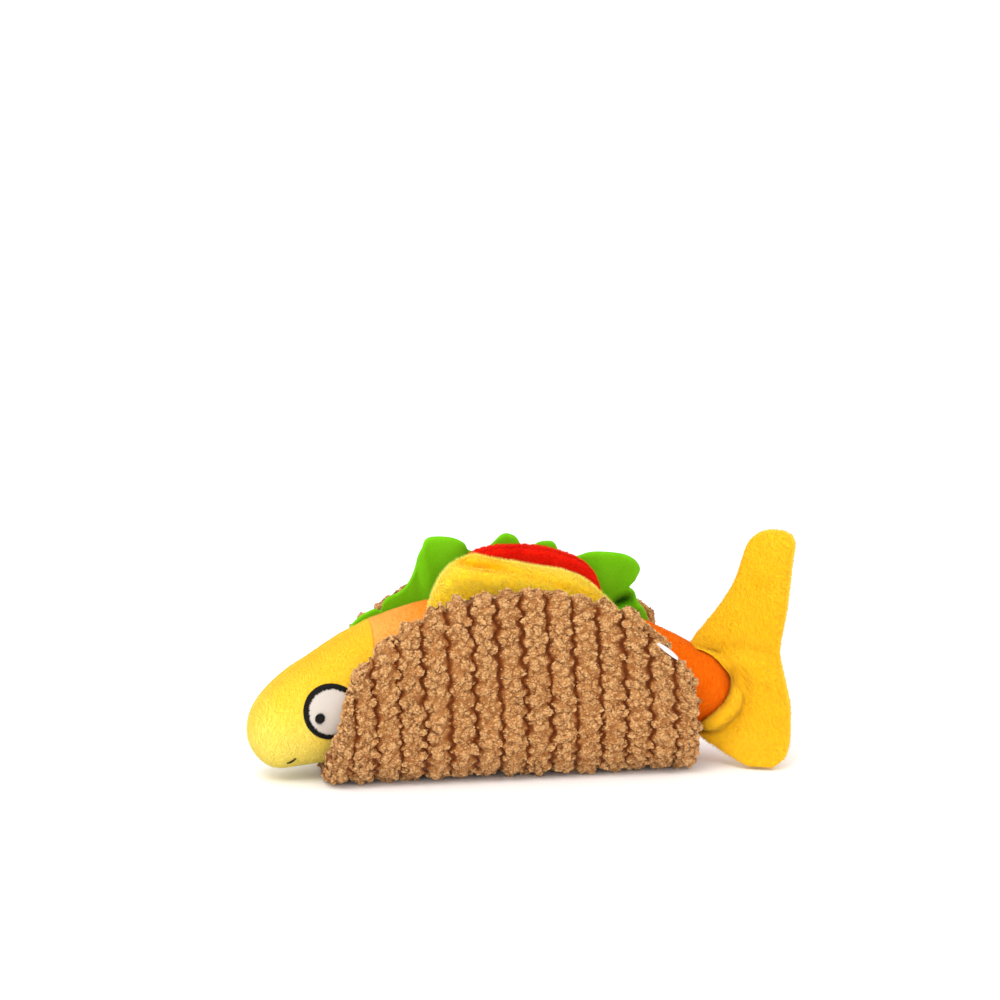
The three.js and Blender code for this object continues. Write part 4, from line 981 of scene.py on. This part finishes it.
def finPanel(side, word):
    rows, columns = fin["grid"]
    # closer together at both tips, so that they close round
    turn = np.linspace(0, math.pi, rows + 1)[:, None]
    up = 0.01 + 0.99 * (0.75 * steps(rows)[:, None] + 0.25 * (1 - np.cos(turn)) / 2)
    z = up * fin["height"]
    rise = np.clip((z - fin["socketZ"]) / fin["socketHalfHeight"], -1, 1)
    atSocket, socket = np.abs(rise) < 1, fin["socketRadius"] * dome(rise) + 0.3
    nearLine, farLine = (smoothLine([(row[0], row[i]) for row in finShares]) for i in (1, 2))
    nearPlain, far = nearLine(up) * fin["reach"], farLine(up) * fin["reach"]
    nearInner = np.maximum(nearPlain, np.where(atSocket, np.maximum(socket, 1.5), -9))
    # its near edge lies against the round end of the stalk, thick enough to hug it
    foot = brokenLine(z, finFoot)
    near = np.maximum(nearPlain, np.where(atSocket, np.sqrt(np.maximum(socket ** 2 - foot ** 2, 0)) + 0.2, -9))
    share = 0.7 * steps(columns) + 0.3 * (1 - np.cos(math.pi * steps(columns))) / 2
    along, alongInner = near + (far - near) * share, nearInner + (far - nearInner) * share
    curl = fin["curl"] * np.clip(1 - up / fin["curlShare"], 0, 1) ** 2
    toNear, toFar = along - near, far - along
    toEdge = np.minimum(np.minimum(toNear, toFar), np.minimum(z - z[0], z[-1] - z))
    puffAlong = np.sqrt(np.maximum(1 - np.abs(2 * steps(rows)[:, None] - 1) ** 4, 0))
    half = fin["edgeHalfThickness"] * quarterRound(toEdge, fin["edgeRound"])
    half = half + (fin["halfThickness"] - fin["edgeHalfThickness"]) * dome(2 * share - 1) * puffAlong
    half = half + (np.maximum(half, foot) - half) * atSocket * (1 - smoothStep(toNear, 2, 7))
    # the groove round the roll at the stalk's end
    offSocket = np.hypot(along / fin["socketRadius"], (z - fin["socketZ"]) / fin["socketHalfHeight"]) - 1
    groove = bell(offSocket * fin["grooveScale"] - fin["grooveOff"], fin["grooveWidth"])
    half = half - fin["grooveDepth"] * (1 - smoothStep(z, 36, 50)) * groove
    # the soft crease across its waist
    crease = bell(z - brokenLine(along, creaseLine), fin["creaseWidth"]) * smoothStep(toNear, 0, 6)
    half = half - fin["creaseDepth"] * crease
    spot = pointsAt(along, z, side * 40.0)
    half = half + fin["lump"] * softNoise(spot, fin["lumpSize"], 91) * smoothStep(toEdge, 0, 8)
    pucker = fin["pucker"] * softNoise(spot, fin["puckerSize"], 92)
    half = half + pucker * np.exp(-toEdge / fin["puckerReach"]) * smoothStep(toEdge, 0.5, 3)
    half = np.maximum(half, fin["leastHalf"])
    inside = np.maximum(half - fin["skin"], seamGap / 2)
    piece = addSheet("fin" + word, finPlace(along, side * half - curl, z),
                     finPlace(alongInner, side * inside - curl, z)[::2, ::2], "fin", pile=smoothStep(toEdge, 0.15, 1.2))
    dress(piece, "finPile" + word, finPile, "tail_fin_" + word.lower(), "tail_fin_stuffing")


def finCollar(side, word):
    along, around = fin["rollGrid"]
    places = np.linspace(0, len(collarLine) - 1, along + 1)
    height, turn, radius = (smoothLine(list(enumerate(line)))(places) for line in np.array(collarLine, float).T)
    radius, turn = np.maximum(radius, 0.4), turn * degrees
    rise = (height - fin["socketZ"]) / fin["socketHalfHeight"]
    off = fish["domeRadius"] * np.sqrt(1 - rise * rise)
    outward = unit(np.stack([off / fish["domeRadius"] ** 2, rise / fin["socketHalfHeight"]], -1))
    off = off + outward[:, 0] * (radius + fin["rollGap"])
    centre = finPlace(off * np.cos(turn), side * off * np.sin(turn), height + outward[:, 1] * (radius + fin["rollGap"]))
    run = unit(np.gradient(centre, axis=0))
    first = unit(np.cross(run, [0, 0, 1.0]))
    angle = (np.arange(around) / around * 2 * math.pi)[:, None]
    ring = first[:, None] * np.cos(angle) + np.cross(run, first)[:, None] * np.sin(angle)
    size = radius[:, None] * (1 + fin["rollLump"] * softNoise(centre[:, None] + ring * 3, 5, 93))
    faces = [[i * around + j, i * around + (j + 1) % around, (i + 1) * around + (j + 1) % around, (i + 1) * around + j]
             for i in range(along) for j in range(around)]
    faces += [list(range(around))[::-1], [along * around + j for j in range(around)]]
    piece = addMesh("finRoll" + word, centre[:, None] + ring * size[..., None], faces, "fin",
                    pile=np.ones((along + 1) * around))
    dress(piece, "finRollPile" + word, rollPile)


for side, word in sides:
    finPanel(side, word)
    finCollar(side, word)

print("tomato slice")

tomato = {"x": 5, "y": 5.4, "z": 55.5, "radius": 54.5, "halfThickness": 6, "footZ": 66, "skin": 1.3,
          "rollHeight": 4.2, "gap": 0.5, "seamAt": 0.38, "seamWidth": 0.08, "seamDepth": 1.3, "puckers": 96,
          "puckerDepth": 0.28, "puckerWidth": 0.16, "lump": 0.35, "lumpSize": 14, "bump": 0.2, "bumpSize": 3.5,
          "drawnIn": 0.25, "ends": (16 * degrees, 141 * degrees), "grid": (240, 56)}
# its outline: degrees round, mm inside the circle
tomatoTrim = [(0, 6), (28, 5), (35, 2.5), (44, -0.6), (51, -1.5), (58, -1.2), (66, 0), (81, 1.1), (90, 1.1),
              (99, 0.5), (109, 0.1), (115, 0.8), (120, 2.6), (126, 5), (141, 8), (180, 8)]
tomatoPile = {"body": "fish", "slot": "red_plush", "finish": "red", "fill": 0.6, "seed": 17, "length": 1.0,
              "width": 0.22, "perSquareMm": 5.0, "brushed": (0.3, 0.0, -0.1), "uneven": 0.8, "patchScale": 110.0}


def tomatoFoot(angle, y):  # how far out from the slice's middle the fish's back or the flat cut lies
    near, far = np.zeros_like(angle), np.full(angle.shape, tomato["radius"] + 4.0)
    for _ in range(30):
        radius = (near + far) / 2
        x, z = tomato["x"] + radius * np.cos(angle), tomato["z"] + radius * np.sin(angle)
        middle, halfHeight, halfWidth = fishSection(x, -tomato["gap"])
        inside = ((y / halfWidth) ** 2 + ((z - middle) / halfHeight) ** 2 < 1) | (z < tomato["footZ"])
        near, far = np.where(inside, radius, near), np.where(inside, far, radius)
    return far


def tomatoPanel(side, word):
    columns, rows = tomato["grid"]
    y = tomato["y"] + side * tomato["halfThickness"]
    angle = np.linspace(*tomato["ends"], columns + 1)
    keep = angle[tomatoFoot(angle, y) < tomato["radius"] - 6.5]
    angle = np.linspace(keep[0], keep[-1], columns + 1)[:, None]
    foot = tomatoFoot(angle, y)

    def face(inset):  # flat at first, then rolled over the rim
        half, roll = tomato["halfThickness"] - inset, tomato["rollHeight"] - inset
        radius = tomato["radius"] - inset - brokenLine(angle / degrees, tomatoTrim)
        middleY, start = (half + seamGap / 2) / 2, np.maximum(radius - roll, foot + 0.4)
        j, flat = np.arange(rows + 1), rows // 2
        turn = math.pi * np.maximum(j - flat, 0) / (rows - flat)
        r = np.where(j <= flat, foot + (start - foot) * j / flat, start + (radius - start) * np.sin(turn))
        y = tomato["y"] + side * (middleY + (half - middleY) * np.cos(turn))
        return pointsAt(tomato["x"] + r * np.cos(angle), y, tomato["z"] + r * np.sin(angle))

    outer, inner = face(0), face(tomato["skin"])
    wobble = tomato["lump"] * softNoise(outer, tomato["lumpSize"], 95 + side)
    wobble = wobble + tomato["bump"] * softNoise(outer, tomato["bumpSize"], 96)
    away = unit(outer - np.array([tomato["x"], tomato["y"], tomato["z"]]))
    # a row of stitches along the rim pulls the cloth in, with a small pucker at each
    turned, at, wide = np.clip((steps(rows) - 0.5) * 2, 0, 1), tomato["seamAt"], tomato["seamWidth"]
    valley = smoothStep(turned, at - wide, at) * (1 - smoothStep(turned, at, at + wide)) + 0 * angle
    pucker = tomato["puckerDepth"] * np.sin(tomato["puckers"] * angle) * bell(turned - at, tomato["puckerWidth"])
    outer = outer + away * (wobble - tomato["drawnIn"] + pucker - tomato["seamDepth"] * valley)[..., None]
    # the seam valley is painted darker, as shade, and has less pile
    pile = smoothStep(1 - steps(rows), 0, 0.15) * (1 - 0.8 * valley)
    piece = addSheet("tomato" + word, outer, inner[::2, ::2], "red", pile=pile, fold=valley)
    dress(piece, "tomatoPile" + word, tomatoPile, "tomato_" + word.lower(), "tomato_stuffing")


for side, word in sides:
    tomatoPanel(side, word)

print("cheese slice")

cheese = {"left": -41.3, "right": 60, "footZ": 66, "wall": 5, "ridgeZ": 109, "rollRadius": 6.5, "backDrop": 9,
          "wallY": -17, "footY": -21.6, "thinShare": 0.45, "rollEndShare": 0.1, "gap": 0.5,
          "creaseWidth": 1.7, "swell": 1.1, "swellAbove": (4.2, 2.8), "swellBelow": (5.5, 4.0), "baldFold": 0.85,
          "lump": 0.5, "lumpSizes": (15, 5), "grid": (150, 84)}
cheeseRidge = smoothLine([
    (0, 0.08), (0.008, 0.27), (0.021, 0.42), (0.038, 0.56), (0.062, 0.677), (0.09, 0.785), (0.124, 0.87),
    (0.155, 0.92), (0.192, 0.958), (0.229, 0.97), (0.28, 0.945), (0.355, 0.896), (0.423, 0.864), (0.546, 0.8),
    (0.661, 0.752), (0.77, 0.633), (0.858, 0.458), (0.906, 0.337), (0.95, 0.2), (1, 0.08)])
# the fold under the roll: place along the slice, height, depth
cheeseFold = [(-29, 104.2, 0), (-24, 103.5, 2.2), (-19, 102.8, 3.9), (-14, 102, 4.5), (-10, 101.1, 3.3),
              (-5, 99.9, 1.2), (2, 98, 0.4), (20, 93, 0.4), (40, 86, 0.2), (60, 78, 0)]
cheesePile = {"body": "cheese", "slot": "cheese_plush", "finish": "cheese", "fill": 0.4, "seed": 23, "length": 2.2,
              "width": 0.26, "perSquareMm": 4.5, "brushed": (-0.2, 0.0, 0.15), "uneven": 1.3, "patchScale": 170.0}


def evenPath(points, count):  # the same path through points, as count steps of even length
    lengths = np.concatenate([[0], np.cumsum(np.linalg.norm(np.diff(points, axis=0), axis=1))])
    spots = np.linspace(0, lengths[-1], count + 1)
    return np.stack([np.interp(spots, lengths, line) for line in points.T], -1)


def cheeseSlice():
    columns, rows = cheese["grid"]
    half, wallY = cheese["wall"] / 2, cheese["wallY"]
    share = steps(columns)
    middle = np.empty((columns + 1, rows + 1, 3))
    for i, ridge in enumerate(cheeseRidge(share)):
        rise = ridge * (cheese["ridgeZ"] - cheese["footZ"])
        radius = cheese["rollRadius"] * min(1, ridge + cheese["rollEndShare"])
        shoulder = cheese["footZ"] + rise - radius - half
        turn, wall = np.linspace(math.pi, 0, 25), steps(13)[:-1, None]
        up = np.array([cheese["footY"], cheese["footZ"]]) * (1 - wall) + np.array([wallY, shoulder]) * wall
        roll = np.stack([wallY + radius + radius * np.cos(turn), shoulder + radius * np.sin(turn)], -1)
        down = np.array([[wallY + 2 * radius, shoulder - cheese["backDrop"] * ridge]])
        middle[i, :, 0] = cheese["left"] + (cheese["right"] - cheese["left"]) * share[i]
        middle[i, :, 1:] = evenPath(np.concatenate([up, roll, down]), rows)
    fullness = np.sqrt(np.sin(math.pi * share).clip(0))[:, None]
    taper = cheese["thinShare"] + (1 - cheese["thinShare"]) * fullness
    down = steps(rows)
    halfHere = half * taper * (0.55 + 0.45 * smoothStep(down, 0.0, 0.5))
    front = (middle[..., 1] < wallY + cheese["rollRadius"])[..., None]

    def cleared(points, gap):
        return np.where(front, clearOfFish(points, cheese["gap"] + gap), points)

    middle = cleared(middle, 1.2)
    normals = gridNormals(middle)
    normals = normals * -np.sign(normals[columns // 2, rows // 4, 1])
    # the soft fold in its top, where it creases over
    x, y, z = np.moveaxis(middle, -1, 0)
    edge = np.minimum(share, 1 - share)[:, None] * (cheese["right"] - cheese["left"])
    toEnd = np.minimum(edge, np.minimum(down, 1 - down) * 60)
    large, small = cheese["lumpSizes"]
    lumps = 0.7 * softNoise(middle, large, 98) + 0.3 * softNoise(middle, small, 99)
    foldX, foldZ, foldDepth = np.array(cheeseFold, float).T
    depth, rise = np.interp(x, foldX, foldDepth), z - np.interp(x, foldX, foldZ)
    inFront = y < wallY + cheese["rollRadius"] + 2
    shallow, line = np.minimum(depth / 2, 1), bell(rise, cheese["creaseWidth"])
    # the cloth swells above and below the fold
    (over, overWidth), (under, underWidth) = cheese["swellAbove"], cheese["swellBelow"]
    swell = bell(rise - over, overWidth) + 1.2 * bell(rise + under, underWidth)
    crease = (depth * line - cheese["swell"] * shallow * swell) * inFront
    fullRound = 0.25 + 0.75 * quarterRound(toEnd, 3.0)
    above = (halfHere - 1.0) * fullRound + (lumps * cheese["lump"] - crease) * smoothStep(toEnd, 0, 6)
    outer = middle + normals * above[..., None]
    inner = middle - normals * (halfHere * fullRound)[..., None]
    # the crease is painted darker, as shade, and has less pile
    fold = shallow * line * inFront
    piece = addSheet("cheeseSlice", cleared(outer, 0.8), cleared(inner, 0), "cheese",
                     pile=smoothStep(z, 66, 74) * (1 - cheese["baldFold"] * fold), fold=fold)
    dress(piece, "cheesePile", cheesePile, "cheese_slice")


cheeseSlice()

print("lettuce leaf")

lettuce = {"left": -75, "right": 75, "rootZ": 62, "topZ": 113.5, "rootY": 23.4, "tipY": 15, "thickness": 1.8,
           "ruffle": 2.4, "ruffles": 5, "rootInset": 3, "gap": 0.5, "fuzz": 0.06, "grid": (240, 30), "feltShare": 1.04}
frillShares = [
    (0, 0.02), (0.007, 0.1), (0.046, 0.22), (0.096, 0.285), (0.108, 0.26), (0.125, 0.38), (0.178, 0.46),
    (0.217, 0.63), (0.239, 0.87), (0.264, 0.98), (0.33, 0.975), (0.376, 0.92), (0.4, 0.83), (0.45, 0.8),
    (0.475, 0.9), (0.515, 0.995), (0.545, 0.97), (0.575, 0.85), (0.6, 0.83), (0.63, 0.89), (0.675, 0.895),
    (0.71, 0.76), (0.75, 0.735), (0.805, 0.78), (0.857, 0.78), (0.913, 0.755), (0.955, 0.69), (0.976, 0.59),
    (0.962, 0.505), (0.936, 0.435), (0.957, 0.375), (0.969, 0.27), (0.992, 0.195), (1.008, 0.11), (1.012, 0.02)]
lettuceFold = {"x": 63.2, "z": 75.6, "slant": 0.3, "wide": 6.5, "tall": 3.2, "deep": 5, "lipX": 70.5, "lipZ": 74,
               "lip": 4.5, "lipWide": 3.5, "lipTall": 7}


def roundedPath(rows, count):  # a centripetal curve through points, as count steps of even length
    points = np.array(rows, float)
    knots = np.concatenate([[2 * points[0] - points[1]], points, [2 * points[-1] - points[-2]]])
    fine = []
    for i in range(1, len(knots) - 2):
        p = knots[i - 1:i + 3]
        t = np.concatenate([[0.0], np.cumsum(np.linalg.norm(np.diff(p, axis=0), axis=1) ** 0.5)])
        for at in np.linspace(t[1], t[2], 9)[:-1]:
            def between(first, last, a, b):
                return (t[last] - at) / (t[last] - t[first]) * a + (at - t[first]) / (t[last] - t[first]) * b
            a1, a2, a3 = (between(k, k + 1, p[k], p[k + 1]) for k in range(3))
            fine.append(between(1, 2, between(0, 2, a1, a2), between(1, 3, a2, a3)))
    return evenPath(np.array([*fine, points[-1]]), count)


def lettuceLeaf():
    length, rise = lettuce["right"] - lettuce["left"], lettuce["topZ"] - lettuce["rootZ"]
    columns, rows = lettuce["grid"]
    frill, share, run = roundedPath(frillShares, columns), steps(rows), steps(columns)[:, None]
    rootX = lettuce["left"] + lettuce["rootInset"] + (length - 2 * lettuce["rootInset"]) * run
    x = rootX + (lettuce["left"] + length * frill[:, :1] - rootX) * share
    up = np.maximum(frill[:, 1:] * rise, 2 * lettuce["thickness"]) * share
    turns = 2 * math.pi * lettuce["ruffles"]
    wave = np.sin(turns * run) + 0.35 * np.sin(turns * 2.3 * run + 1)
    lean = (lettuce["tipY"] - lettuce["rootY"]) * (up / rise)
    y = lettuce["rootY"] + lean + lettuce["ruffle"] * wave * (up / rise) ** 1.5
    # the last ruffle folds back on itself
    z = lettuce["rootZ"] + up
    aside = x - lettuceFold["x"]
    above = z - lettuceFold["z"] - lettuceFold["slant"] * aside
    fold = bell(aside, lettuceFold["wide"]) * bell(above, lettuceFold["tall"])
    lip = bell(x - lettuceFold["lipX"], lettuceFold["lipWide"]) * bell(z - lettuceFold["lipZ"], lettuceFold["lipTall"])
    middle = pointsAt(x, y + lettuceFold["deep"] * fold - lettuceFold["lip"] * lip, z)
    middle = clearOfFish(middle, lettuce["gap"] + lettuce["thickness"] / 2)
    edge = np.minimum(np.minimum(1 - share, share) * 12, np.minimum(run, 1 - run) * 90)
    half = lettuce["thickness"] / 2 * (0.35 + 0.65 * quarterRound(edge, 0.9))
    half = half + lettuce["fuzz"] * softNoise(middle, 1.3, 101)
    half = gridNormals(middle) * half[..., None]
    # the hollow of the fold is painted darker, as shade
    piece = addSheet("lettuceLeaf", middle + half, middle - half, "felt", fold=(fold, fold))
    settle(piece, "lettuce", "green_felt", "lettuce_leaf")


lettuceLeaf()

print("hidden filling and squeaker")

for name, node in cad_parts.items():
    if not node.hide_render:
        for slotItem in node.material_slots:
            slotItem.material = finishes["plastic" if name.startswith("squeaker") else "fibre"]

print("floor")

wide = studio["floorReach"] / mm
addMesh("floor", [(-wide, -wide, 0), (wide, -wide, 0), (wide, wide, 0), (-wide, wide, 0)], [(0, 1, 2, 3)],
                 "paper")
